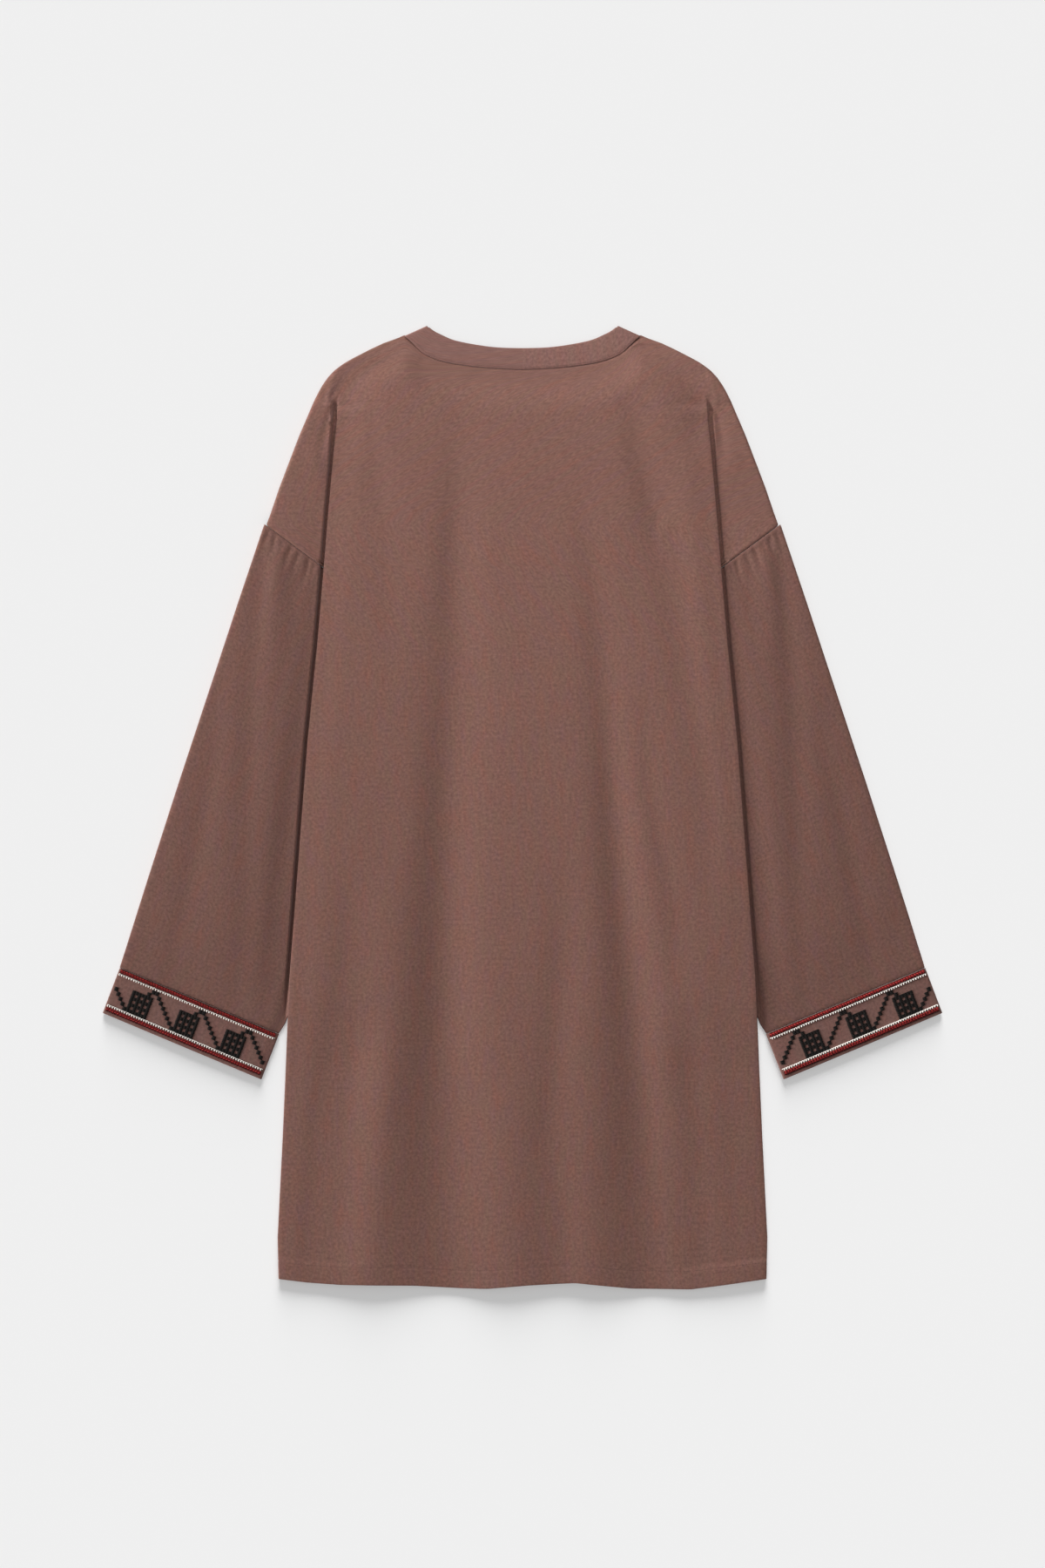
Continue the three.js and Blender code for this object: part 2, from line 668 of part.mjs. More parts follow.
// The sleeve's edges with their ends, a seam gap clear of the armhole and of the cuff
function sleeveEdgeTable() {
  const tip = corner2(SHOULDER_TIP);
  const underarm = corner2(UNDERARM);
  const head = tip.clone().addScaledVector(tip.clone().sub(underarm).normalize(), SLEEVE_HEAD_STEP);
  const first = sleeveEndRow(0, head, underarm, 1);
  const last = sleeveEndRow(1, corner2(CUFF.topOuter), corner2(CUFF.topInner), -1);
  return [first, ...SLEEVE_EDGES, last];
}

function sleeveGeometry() {
  const steps = 12;
  const closerTowardsCuff = 1.5;
  const table = sleeveEdgeTable();
  const edgePoint = (share, edge) =>
    new THREE.Vector2(
      between(table, "share", share, `${edge}X`),
      between(table, "share", share, `${edge}Y`),
    );
  const sections = [];
  for (let i = 0; i <= steps; i += 1) {
    const share = 1 - (1 - i / steps) ** closerTowardsCuff;
    const inner = edgePoint(share, "inner");
    const outer = edgePoint(share, "outer");
    sections.push({ inner, outer, ways: sleeveWays(inner, outer) });
  }
  const swell = (share, x, y) => sideLoft(x, y, SLEEVE_LOFT) * Math.sin(Math.PI * clamp01(share)) ** 0.8;
  return flatTube(sections, {
    half: CLOTH / 2,
    turnCells: 4,
    levels: { fold: PITCH / 2, lower: lowerLevel, swell },
  });
}

const cuffInner = (share) => corner2(CUFF.topInner).lerp(corner2(CUFF.bottomInner), share);
const cuffOuter = (share) => corner2(CUFF.topOuter).lerp(corner2(CUFF.bottomOuter), share);
const cuffHeight = () => corner2(CUFF.topOuter).distanceTo(corner2(CUFF.bottomOuter));
const CUFF_TURN = (CUFF_WALL + PLY_GAP) / 2;
const CUFF_ROOM = CUFF_TURN + CUFF_WALL / 2;
const CUFF_TOP = 2 * CUFF_WALL + PLY_GAP;

// The cuff's upper face swells a little between its two folded ends
const cuffSwell = (share) => CUFF_LOFT * Math.sin(Math.PI * clamp01(share)) ** 0.6;

function cuffGeometry() {
  const steps = 4;
  const cells = 10;
  const sections = [];
  for (let i = 0; i <= steps; i += 1) {
    const inner = cuffInner(i / steps);
    const outer = cuffOuter(i / steps);
    const length = inner.distanceTo(outer);
    const ways = [];
    for (let k = 0; k <= cells; k += 1) ways.push(mix(CUFF_ROOM, length - CUFF_ROOM, k / cells));
    sections.push({ inner, outer, ways });
  }
  return flatTube(sections, {
    half: CUFF_WALL / 2,
    turnCells: 4,
    levels: { fold: CUFF_TURN, lower: () => CUFF_WALL / 2, swell: cuffSwell },
  });
}

// A braid across the cuff's upper face, over the distances from its top edge that the table gives
function braidGeometry({ from, to }) {
  const cells = 10;
  const grid = [from, to].map((distance) => {
    const inner = cuffInner(distance / cuffHeight());
    const across = cuffOuter(distance / cuffHeight()).sub(inner);
    const length = across.length();
    across.normalize();
    const row = [];
    for (let i = 0; i <= cells; i += 1) {
      const way = mix(CUFF_ROOM, length - CUFF_ROOM, i / cells);
      const z = CUFF_TOP + cuffSwell(i / cells) + SEAM_GAP + BRAID_WALL / 2;
      row.push({
        at: new THREE.Vector3(inner.x + across.x * way, inner.y + across.y * way, z),
        out: new THREE.Vector3(0, 0, 1),
        half: BRAID_WALL / 2,
      });
    }
    return row;
  });
  return wallRound(grid);
}

// The neckband: a ring that lies on the back, turns over each shoulder edge and goes round the front
function neckbandGeometry() {
  const across = 3;
  const lowLevel = BAND_WALL / 2;
  const highLevel = lowLevel + 2 * BAND_TURN;
  const row = ({ inner, outer }, z, out) => {
    const points = [];
    for (let i = 0; i <= across; i += 1) {
      const at = inner.clone().lerp(outer, i / across);
      points.push({ at: new THREE.Vector3(at.x, at.y, z), out, half: BAND_WALL / 2 });
    }
    return points;
  };
  const backHalf = neckStations(NECK_BACK);
  const up = new THREE.Vector3(0, 0, 1);
  const rows = backHalf.map((station) => row(station, highLevel, up));
  const last = backHalf[backHalf.length - 1];
  const turnCells = 5;
  const { beyond } = NECK_TIP;
  for (let i = 1; i < turnCells; i += 1) {
    const angle = (Math.PI * i) / turnCells;
    const shift = (point) => point.clone().addScaledVector(beyond, BAND_TURN * Math.sin(angle));
    const station = { inner: shift(last.inner), outer: shift(last.outer) };
    const z = lowLevel + BAND_TURN * (1 + Math.cos(angle));
    const out = new THREE.Vector3(beyond.x, beyond.y, 0).multiplyScalar(Math.sin(angle));
    rows.push(row(station, z, out.setZ(Math.cos(angle))));
  }
  const down = new THREE.Vector3(0, 0, -1);
  rows.push(...neckStations(NECK_FRONT).map((station) => row(station, lowLevel, down)));
  const mirrored = rows
    .slice(1, -1)
    .reverse()
    .map((points) =>
      points.map(({ at, out, half }) => ({
        at: new THREE.Vector3(-at.x, at.y, at.z),
        out: new THREE.Vector3(-out.x, out.y, out.z),
        half,
      })),
    );
  return wallRound([...rows, ...mirrored].reverse(), { rowsClose: true });
}

// The same piece for the other side, with its faces turned round so that they still look out
function mirroredGeometry(geometry) {
  const other = geometry.clone();
  other.scale(-1, 1, 1);
  const index = other.index.array;
  for (let i = 0; i < index.length; i += 3) {
    const first = index[i];
    index[i] = index[i + 1];
    index[i + 1] = first;
  }
  return other;
}

function clothMaterial(colour) {
  return new THREE.MeshStandardMaterial({ color: colour, roughness: 0.9, metalness: 0 });
}

function addPiece(group, name, geometry, colour) {
  const mesh = new THREE.Mesh(geometry, clothMaterial(colour));
  mesh.name = name;
  group.add(mesh);
}

function addPair(group, name, geometry, colour) {
  addPiece(group, `${name}_right`, geometry, colour);
  addPiece(group, `${name}_left`, mirroredGeometry(geometry), colour);
}

const kurti = new THREE.Group();
addPiece(kurti, "front", panelGeometry(PANELS.front, NECK_FRONT), BROWN);
addPiece(kurti, "back", panelGeometry(PANELS.back, NECK_BACK), BROWN);
addPiece(kurti, "neckband", neckbandGeometry(), BAND_BROWN);
addPair(kurti, "sleeve", sleeveGeometry(), BROWN);
addPair(kurti, "cuff", cuffGeometry(), BROWN);
for (const braid of BRAIDS) addPair(kurti, braid.name, braidGeometry(braid), braid.colour);

export default kurti;
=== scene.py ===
"""A long-sleeved kurti, laid flat with its back up: cloth, seams, stitches, braid and a stitched border.

Sizes are in millimetres and become metres where a mesh is made. +Y runs from the hem to the neck, +X to the
wearer's right, +Z up, out of the back.
"""

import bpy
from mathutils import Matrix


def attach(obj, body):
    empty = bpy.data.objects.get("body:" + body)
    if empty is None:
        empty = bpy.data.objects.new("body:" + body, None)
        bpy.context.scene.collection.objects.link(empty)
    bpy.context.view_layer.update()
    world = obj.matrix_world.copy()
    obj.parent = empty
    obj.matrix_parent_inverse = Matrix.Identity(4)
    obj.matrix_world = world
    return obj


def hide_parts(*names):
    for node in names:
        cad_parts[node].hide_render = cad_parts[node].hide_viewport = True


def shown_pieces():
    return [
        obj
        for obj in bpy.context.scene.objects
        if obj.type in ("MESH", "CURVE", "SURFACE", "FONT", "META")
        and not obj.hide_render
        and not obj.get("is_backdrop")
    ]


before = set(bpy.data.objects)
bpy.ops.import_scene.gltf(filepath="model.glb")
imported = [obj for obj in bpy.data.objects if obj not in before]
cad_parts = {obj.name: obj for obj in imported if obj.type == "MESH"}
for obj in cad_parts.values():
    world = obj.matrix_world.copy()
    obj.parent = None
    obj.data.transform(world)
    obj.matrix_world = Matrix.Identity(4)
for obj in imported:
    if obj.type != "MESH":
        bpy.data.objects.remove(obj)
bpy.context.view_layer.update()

import logging
from dataclasses import dataclass, field
from enum import Enum
from typing import Callable, ClassVar

import bpy
import numpy as np
from mathutils import Vector

log = logging.getLogger("kurti")
MM = 0.001
BODY = "root"

Array = np.ndarray
Number = np.ndarray | float
Pair = tuple[float, float]
Triple = tuple[float, float, float]
Piece = bpy.types.Object
Tree = bpy.types.NodeTree
Material = bpy.types.Material
Socket = bpy.types.NodeSocket
Sockets = bpy.types.bpy_prop_collection


class Side(Enum):
    """The wearer's side, as the sign of X there."""

    RIGHT = 1
    LEFT = -1

    @property
    def word(self) -> str:
        """The side as pieces are named."""
        return self.name.lower()


class Hold(Enum):
    """What keeps a sheet of cloth in its shape."""

    LAID = "laid"
    FOLDED = "folded"


class Slot(Enum):
    """Material slots of the record."""

    BROWN = "brown_cloth"
    BAND = "band_cloth"
    CUFF = "cuff_cloth"
    RED = "red_braid"
    WHITE = "white_braid"


def smooth(value: Number) -> Array:
    """Ease from 0 to 1, held there before and after."""
    share = np.clip(value, 0.0, 1.0)
    return share * share * (3 - 2 * share)


def mix(first: Number, second: Number, share: Number) -> Array:
    """The value a share of the way from the first to the second."""
    return first + (second - first) * share


def bell(distance: Number, wide: Number) -> Array:
    """1 at no distance, and about a third of that at the width."""
    return np.exp(-((distance / wide) ** 2))


def hump(share: Number, power: float = 1.0) -> Array:
    """From 0 up to 1 half way and back, the fuller the lower the power."""
    return np.sin(np.pi * np.clip(share, 0, 1)) ** power


@dataclass(frozen=True)
class Line:
    """A value that changes on straight lines between given places.

    Args:
        points: pairs of a place and the value there.
    """

    points: tuple[Pair, ...]

    def at(self, place: Number) -> Array:
        """The value at a place, or at each of an array of places."""
        keys, values = zip(*sorted(self.points))
        return np.interp(place, keys, values)


def curve_through(points: tuple[Pair, ...], steps: int) -> Array:
    """Points on the smooth curve through the given ones.

    Args:
        points: the points that the curve passes.
        steps: how many steps of equal share it is cut into.

    Returns:
        An array of steps + 1 points.
    """
    fixed = np.array(points, float)
    last = len(fixed) - 1
    place = np.linspace(0, last, steps + 1)
    cell = np.minimum(place.astype(int), last - 1)
    share = (place - cell)[:, None]
    before, start, end, after = (fixed[np.clip(cell + step, 0, last)] for step in (-1, 0, 1, 2))
    leave = (end - before) / 2
    arrive = (after - start) / 2
    cubic = 2 * (start - end) + leave + arrive
    square = 3 * (end - start) - 2 * leave - arrive
    return cubic * share**3 + square * share**2 + leave * share + start


@dataclass(frozen=True)
class Fold:
    """A long soft trough or ridge that runs down the cloth.

    Args:
        points: rows of x, y, width to the left, width to the right and depth, from the top down. A depth
            below nothing is a ridge.
        fade: length over which it dies away past its ends.
    """

    points: tuple[tuple[float, float, float, float, float], ...]
    fade: float = 45.0

    def depth(self, x: Array, y: Array) -> Array:
        """How deep it is at each place.

        Args:
            x: places across.
            y: places along.

        Returns:
            The depths.
        """
        rows = np.array(self.points)[::-1]
        way = rows[:, 1]
        middle, left, right, deep = (np.interp(y, way, rows[:, column]) for column in (0, 2, 3, 4))
        past = np.maximum(way[0] - y, 0) + np.maximum(y - way[-1], 0)
        return deep * bell(x - middle, np.where(x < middle, left, right)) * smooth(1 - past / self.fade)


@dataclass(frozen=True)
class Crease:
    """A short crease between two points, deepest near its start.

    Args:
        start: where it leaves a seam or a fold.
        end: where it has died away.
        wide: its half width.
        deep: its depth. Below nothing, it is a ridge.
        curl: how far its middle bows to its left.
    """

    start: Pair
    end: Pair
    wide: float
    deep: float
    curl: float = 0.0
    lead: ClassVar[float] = 0.12  # how far before its start it begins, as a share of its length
    deepens: ClassVar[float] = 0.2  # the share over which it deepens
    dies: ClassVar[float] = 1.05  # the share at which it has died away

    def depth(self, x: Array, y: Array) -> Array:
        """How deep it is at each place.

        Args:
            x: places across.
            y: places along.

        Returns:
            The depths.
        """
        way = np.array(self.end) - np.array(self.start)
        length = np.hypot(*way)
        way = way / length
        along = ((x - self.start[0]) * way[0] + (y - self.start[1]) * way[1]) / length
        across = (y - self.start[1]) * way[0] - (x - self.start[0]) * way[1] - self.curl * hump(along)
        near_start = smooth((along + self.lead) / self.deepens)
        return self.deep * bell(across, self.wide) * near_start * smooth(self.dies - along)


@dataclass(frozen=True)
class Groove:
    """A groove along a seam or an edge.

    Args:
        deep: its depth. Below nothing, it is a ridge.
        wide: its half width.
        away: how far from the seam it lies.
    """

    deep: float
    wide: float
    away: float = 0.0

    def depth(self, distance: Array) -> Array:
        """How deep it is at a distance from the seam."""
        return self.deep * bell(distance - self.away, self.wide)


@dataclass(frozen=True)
class Ripple:
    """Slight unevenness of cloth that has been folded and smoothed out again.

    Args:
        deep: the height of its crests.
        size: the usual distance between them.
    """

    deep: float
    size: float
    # Its waves: how much of x and of y, and where each starts
    waves: ClassVar[tuple[Triple, ...]] = (
        (1.0, 0.31, 0.4), (0.83, -0.57, 2.1), (-0.36, 0.94, 4.4), (0.52, 1.21, 1.3), (1.37, 0.18, 5.2),
    )
    bend: ClassVar[float] = 0.9
    bend_size: ClassVar[float] = 2.3

    def height(self, x: Array, y: Array) -> Array:
        """How high it is at each place.

        Args:
            x: places across.
            y: places along.

        Returns:
            The heights.
        """
        total = np.zeros(np.broadcast(x, y).shape)
        for across, along, phase in self.waves:
            bend = self.bend * np.sin((y * across - x * along) / (self.size * self.bend_size) + phase)
            total += np.sin(2 * np.pi * (x * across + y * along) / self.size + phase + bend)
        return self.deep * (total / len(self.waves))


# How the kurti lies

# The neckband's two edges over the right half, from the middle of the back to the shoulder edge
NECK_BACK_INNER = (
    (0, 453.2), (24, 453.9), (46.4, 456.7), (67.1, 461), (80, 466.4), (88, 470.6), (94.2, 475.6),
)
NECK_BACK_OUTER = (
    (0, 432.1), (28, 433.3), (54, 435.8), (78, 440), (96.3, 447.2), (106.5, 456), (116.1, 465.7),
)
# The same from the shoulder edge to the middle of the front
NECK_FRONT_INNER = (
    (94.2, 475.6), (92, 448), (84.5, 412), (70, 375), (46, 344), (20, 329), (0, 326),
)
NECK_FRONT_OUTER = (
    (116.1, 465.7), (114.5, 442), (107, 403), (90, 360), (58, 325), (25, 307.5), (0, 304),
)
NECK_STEPS = 48


@dataclass(frozen=True)
class Lay:
    """The form that all pieces share: edges, pleats and the levels of the layers.

    The sizes are those of the plain model, so each piece lies in the space that its solid holds. A table
    gives a value at heights from the neck down.
    """

    layer: float = 0.65  # room of one layer of cloth
    hem_layer: float = 1.05
    ply_gap: float = 0.15
    seam_gap: float = 0.3
    hem_y: float = -465.0
    hem_depth: float = 17.0
    hem_step: float = 4.0
    hem_wave_top: float = -380.0
    underarm: Pair = (100.0, 165.0)
    shoulder_tip: Pair = (252.5, 278.2)
    neck_level: float = 2.85
    neck_slope: float = 45.0
    shoulder_slope: float = 30.0
    stack_room: float = 4.0
    stack_slope: float = 46.0
    drop_start: float = 0.2
    drop_reach: float = 1.5
    # The narrow gap beside the body, and the slope that leads out of it
    gap_widths: Line = Line((
        (466, 1.4), (402, 1.6), (396, 2.4), (388, 3.3), (380, 3.6), (358, 3.3), (335, 2.7), (-465, 2.5),
    ))
    gap_walls: Line = Line((
        (466, 2), (412, 4), (402, 6), (393, 4.6), (384, 2.2), (365, 1.7), (335, 1.5), (-465, 1.3),
    ))
    # The swell beyond it: its lip, how it goes on to either side, and what is left of it near the cuffs
    lips: Line = Line(((466, 0), (412, 0.1), (402, 0.5), (385, 0.6), (350, 0.45), (320, 0.32), (-465, 0.26)))
    lip_reach: float = 4.0
    left_swell: float = 0.24
    left_reach: float = 90.0
    left_fall: float = 200.0
    right_fall: float = 170.0
    right_low: float = 0.42
    low_share: float = 0.45
    low_foot: float = -215.0
    low_reach: float = 120.0
    # How flat the cloth stays at the shoulder's outer edge and by the neckband
    shoulder_rim: float = 0.4
    shoulder_opens: float = 14.0
    neck_near: float = 6.0
    neck_calm: float = 34.0
    # How a sleeve or shoulder swells away from the body
    loft: float = 0.3
    loft_start: float = 4.0
    loft_slope: float = 26.0
    # Half widths of the body at the edge that shows, and of the shoulder
    body_edge: Line = Line((
        (466, 99), (449, 132), (430, 161), (415, 176), (402.5, 182.3), (384.4, 183), (348.3, 186.6),
        (289.8, 191.8), (236.5, 196.1), (160.8, 202.5), (66.2, 212), (-68.8, 222.3), (-168.6, 229.9),
        (-320.8, 236.5), (-424, 241.7), (-465, 240.8),
    ))
    wing_edges: Line = Line((
        (466, 117.5), (464, 121), (458, 137.6), (451.5, 151.4), (441.2, 171.1), (436.3, 179), (430.9, 186),
        (424.2, 192.2), (417.1, 197.2), (409.3, 201.7), (401.6, 205.5), (367.2, 220.2), (315.6, 239.9),
        (281.2, 251.5), (278.2, 252.5),
    ))
    # The pleats: how deep they are turned under, and how far round, as a share of half a turn
    under: Line = Line((
        (466, 0.3), (380, 0.3), (367, 6), (290, 46), (165, 102), (-100, 62), (-465, 50),
    ))
    turn_shares: Line = Line((
        (466, 0.01), (406, 0.01), (403, 0.08), (399, 0.24), (394, 0.5), (388, 0.8), (381, 1), (-465, 1),
    ))
    # Layers of cloth under the folded edge, and the height beside it in turned-over pleats
    edge_layers: Line = Line(((466, 4.6), (398, 4.6), (345, 7.2), (-190, 7.2), (-256, 3), (-465, 3)))
    crest_layers: Line = Line(((466, 1.9), (398, 1.9), (345, 3), (-465, 3)))
    # How far the hem's waves drop, at places across
    hem_drops: Line = Line((
        (-241, 0), (-212, 3.6), (-180, 5.8), (-108, 6.6), (-62, 9.2), (-36, 9.8), (6, 6.2), (52, 3.9),
        (108, 9.6), (166, 10.4), (200, 6), (241, 0),
    ))

    @property
    def pitch(self) -> float:
        """From one layer's middle to the next."""
        return self.layer + self.ply_gap

    @property
    def hem_top(self) -> float:
        """Height at which the turned hem is sewn down."""
        return self.hem_y + self.hem_depth

    def pleat_turn(self, y: Array) -> Array:
        """How far round the pleat has turned, in radians."""
        return np.pi * self.turn_shares.at(y)

    def room(self, y: Array) -> Array:
        """Room that a layer takes: more in the turned hem."""
        return mix(self.layer, self.hem_layer, smooth((self.hem_top + self.hem_step - y) / self.hem_step))

    def fold_radius(self, y: Array) -> Array:
        """Radius of the middle of the pleat's folds."""
        return ((self.room(y) + self.ply_gap) / 2) * (np.pi / self.pleat_turn(y))

    def pleat_rise(self, y: Array) -> Array:
        """How high a pleat carries its last layer above its first."""
        turn = self.pleat_turn(y)
        return 2 * self.fold_radius(y) * (1 - np.cos(turn)) + self.under.at(y) * np.sin(turn)

    def wing_edge(self, y: Array) -> Array:
        """Outer edge of a shoulder, and below it the armhole seam.

        Args:
            y: places along.

        Returns:
            Half widths.
        """
        (arm_x, arm_y), (tip_x, tip_y) = self.underarm, self.shoulder_tip
        armhole = mix(arm_x, tip_x, (y - arm_y) / (tip_y - arm_y))
        return np.where(y >= tip_y, self.wing_edges.at(y), armhole)

    def inside_shoulder(self, x: Array, y: Array) -> Array:
        """How far a place lies inside the shoulder's outer edge."""
        return self.wing_edge(np.maximum(y, self.shoulder_tip[1])) - np.abs(x)

    def lower_level(self, x: Array, y: Array) -> Array:
        """Middle of the lower of the two layers that come out over the folded edge of the front."""
        dropped = smooth((np.abs(x) - self.body_edge.at(y) - self.drop_start) / self.drop_reach)
        return self.layer / 2 + self.pleat_rise(y) * (1 - dropped)

    def crest(self, x: Array, y: Array) -> Array:
        """How far the upper of those layers swells up beside the body, past a narrow gap.

        The swell is as high as the folded edge of the back beside it, so that both meet above the pleat.

        Args:
            x: places across. Each side has its own fall away from the gap.
            y: places along.

        Returns:
            The heights.
        """
        outside = np.abs(x) - self.body_edge.at(y)
        gap, wall = self.gap_widths.at(y), self.gap_walls.at(y)
        past = np.maximum(outside - gap - wall, 0)
        open_share = np.clip(self.pleat_rise(y) / self.full_rise(y), 0, 1)
        lip = self.lips.at(y) * smooth(outside / self.lip_reach)
        left = 1 + (lip + self.left_swell * hump(past / self.left_reach)) * open_share
        left = left * bell(np.maximum(past - self.left_reach / 2, 0), self.left_fall)
        right = bell(past, self.right_fall) * (1 - self.right_low * open_share)
        sunk = open_share * (1 - smooth((outside - gap) / wall))
        lasting = mix(self.low_share, 1.0, smooth((y - self.low_foot) / self.low_reach))
        high = self.crest_layers.at(y) * self.full_rise(y)
        return high * np.where(x < 0, left, right) * (1 - sunk) * lasting

    def upper_rise(self, x: Array, y: Array) -> Array:
        """How far the upper of those layers lies above the lower.

        Args:
            x: places across.
            y: places along.

        Returns:
            The heights.
        """
        to_neck = Line(NECK_BACK_OUTER).at(np.abs(x)) - y
        inside = np.maximum(self.inside_shoulder(x, y), 0)
        open_rim = smooth(1 - (y - self.shoulder_tip[1]) / self.shoulder_opens)
        calm = 1 - (1 - open_rim) * np.exp(-inside / self.shoulder_rim)
        calm = calm * smooth((to_neck + self.neck_near) / self.neck_calm)
        return self.pitch + (self.crest(x, y) + self.side_loft(x, y, self.loft)) * calm

    def full_rise(self, y: Array) -> Array:
        """How high a pleat that has turned over carries its last layer above its first."""
        return 2 * (self.room(y) + self.ply_gap)

    def side_loft(self, x: Array, y: Array, most: float) -> Array:
        """How far a sleeve or shoulder swells beside the body's edge."""
        return most * smooth((np.abs(x) - self.body_edge.at(y) - self.loft_start) / self.loft_slope)

    def hem_wave(self, x: Array, y: Array) -> Array:
        """How far the hem's waves carry a place down."""
        into_hem = smooth((self.hem_wave_top - y) / (self.hem_wave_top - self.hem_y))
        return self.hem_drops.at(x) * into_hem

    def edge_level(self, x: Array, y: Array) -> Array:
        """Middle of the back at the edge that shows, on one side.

        Args:
            x: places across.
            y: places along.

        Returns:
            The levels.
        """
        pitch = self.room(y) + self.ply_gap
        under_pleat = self.pleat_rise(y) / (2 * pitch)
        stacked = self.room(y) / 2 + pitch * (1 + (self.edge_layers.at(y) - 1) * under_pleat)
        return stacked + self.upper_rise(np.sign(x) * self.body_edge.at(y), y) - self.pitch


LAY = Lay()


# Cloth as a wall round a grid of points


NO_LENGTH = 1e-9


@dataclass
class Grid:
    """Points of a cloth's middle surface, with what a wall needs at each.

    Rows run from the top down and columns to the right, seen from the outer face.

    Args:
        at: places, as rows x columns x 3.
        half: half the cloth's thickness at each point.
        grain: places in the cloth's own plane, across and along. A grid that closes on itself has one row or
            column more here.
        there: which points exist. All do, if it isn't given.
        rows_close: whether the last row joins the first.
        columns_close: whether the last column joins the first.
    """

    at: Array
    half: Array
    grain: Array
    there: Array | None = None
    rows_close: bool = False
    columns_close: bool = False

    def facing(self) -> Array:
        """Work out the way that the outer face looks at each point.

        Returns:
            Steps of length 1, as rows x columns x 3.
        """

        def along(axis: int, closes: bool) -> Array:
            """Steps along one of the grid's two ways."""
            around = np.roll(self.at, -1, axis) - np.roll(self.at, 1, axis)
            return around if closes else np.gradient(self.at, axis=axis)

        out = np.cross(along(0, self.rows_close), along(1, self.columns_close))
        length = np.linalg.norm(out, axis=-1, keepdims=True)
        return np.where(length > NO_LENGTH, out / np.maximum(length, NO_LENGTH), (0.0, 0.0, 1.0))

    def on_side(self, side: Side) -> "Grid":
        """This cloth, made for the wearer's right, on either side, with its outer face still out.

        Args:
            side: the wearer's side.

        Returns:
            The grid for that side.
        """
        if side is Side.RIGHT:
            return self
        at = (self.at * (-1.0, 1.0, 1.0))[:, ::-1]
        return Grid(at, self.half[:, ::-1], self.grain[:, ::-1], None, self.rows_close, self.columns_close)

    def wall(self, name: str) -> Piece:
        """Build the closed wall of cloth.

        Args:
            name: the piece's name.

        Returns:
            A smooth mesh with its grain as UVs.
        """
        rows, columns = self.at.shape[:2]
        there = np.ones((rows, columns), bool) if self.there is None else self.there
        offset = self.facing() * self.half[..., None]
        points = np.stack([self.at + offset, self.at - offset], axis=2).reshape(-1, 3)
        row_cells = rows if self.rows_close else rows - 1
        column_cells = columns if self.columns_close else columns - 1
        r, c = np.meshgrid(np.arange(row_cells), np.arange(column_cells), indexing="ij")
        r_next, c_next = (r + 1) % rows, (c + 1) % columns
        cell = there[r, c] & there[r, c_next] & there[r_next, c] & there[r_next, c_next]
        corners = {
            "tl": (r * columns + c, self.grain[r, c]),
            "tr": (r * columns + c_next, self.grain[r, c + 1]),
            "ll": (r_next * columns + c, self.grain[r + 1, c]),
            "lr": (r_next * columns + c_next, self.grain[r + 1, c + 1]),
        }
        quads: list[Array] = []
        grains: list[Array] = []

        def add(where: Array, turn: tuple[tuple[str, int], ...]) -> None:
            """Add a quad for each cell of a mask.

            Args:
                where: the cells that get it.
                turn: its corners in order, each with 0 for the outer face or 1 for the inner.
            """
            quads.append(np.stack([2 * corners[key][0][where] + face for key, face in turn], axis=1))
            grains.append(np.stack([corners[key][1][where] for key, _ in turn], axis=1))

        add(cell, (("tl", 0), ("ll", 0), ("lr", 0), ("tr", 0)))
        add(cell, (("tl", 1), ("tr", 1), ("lr", 1), ("ll", 1)))
        rims = ((0, -1, "tr", "tl"), (0, 1, "ll", "lr"), (1, -1, "tl", "ll"), (1, 1, "lr", "tr"))
        for axis, step, first, second in rims:
            beside = np.roll(cell, -step, axis)
            if not (self.rows_close, self.columns_close)[axis]:
                edge = [slice(None), slice(None)]
                edge[axis] = 0 if step < 0 else -1
                beside[tuple(edge)] = False
            add(cell & ~beside, ((first, 0), (first, 1), (second, 1), (second, 0)))
        return mesh_piece(name, points, np.concatenate(quads), np.concatenate(grains))


def mesh_piece(
    name: str, points: Array, quads: Array, grains: Array, shades: Array | None = None
) -> Piece:
    """Make a smooth mesh object of quads.

    Args:
        name: the piece's name.
        points: its places in millimetres.
        quads: four vertex numbers to a face.
        grains: a UV for each corner, in millimetres.
        shades: the number of each face's material.

    Returns:
        The object, linked to the scene.
    """
    used, renumbered = np.unique(quads, return_inverse=True)
    mesh = bpy.data.meshes.new(name)
    mesh.vertices.add(len(used))
    mesh.vertices.foreach_set("co", (points[used] * MM).astype(np.float32).ravel())
    mesh.loops.add(quads.size)
    mesh.loops.foreach_set("vertex_index", renumbered.astype(np.int32).ravel())
    mesh.polygons.add(len(quads))
    mesh.polygons.foreach_set("loop_start", np.arange(0, quads.size, 4, dtype=np.int32))
    mesh.polygons.foreach_set("loop_total", np.full(len(quads), 4, dtype=np.int32))
    if shades is not None:
        mesh.polygons.foreach_set("material_index", shades.astype(np.int32))
    mesh.polygons.foreach_set("use_smooth", np.ones(len(quads), bool))
    mesh.uv_layers.new(name="grain").data.foreach_set("uv", (grains * MM).astype(np.float32).ravel())
    mesh.update(calc_edges=True)
    piece = bpy.data.objects.new(name, mesh)
    bpy.context.scene.collection.objects.link(piece)
    return piece


RIM_STEPS = (0.4, 0.12)  # distances from a rim at which a grid has extra points
RIM_REACH = 0.5
RIM_LOSS = 0.96  # how much of its squared thickness the cloth loses at the very rim


def taper(distance: Array, reach: float = RIM_REACH) -> Array:
    """Share of the full thickness near a rim, so that the rim is round."""
    share = np.clip(1 - distance / reach, 0, 1)
    return np.sqrt(1 - RIM_LOSS * share**2)


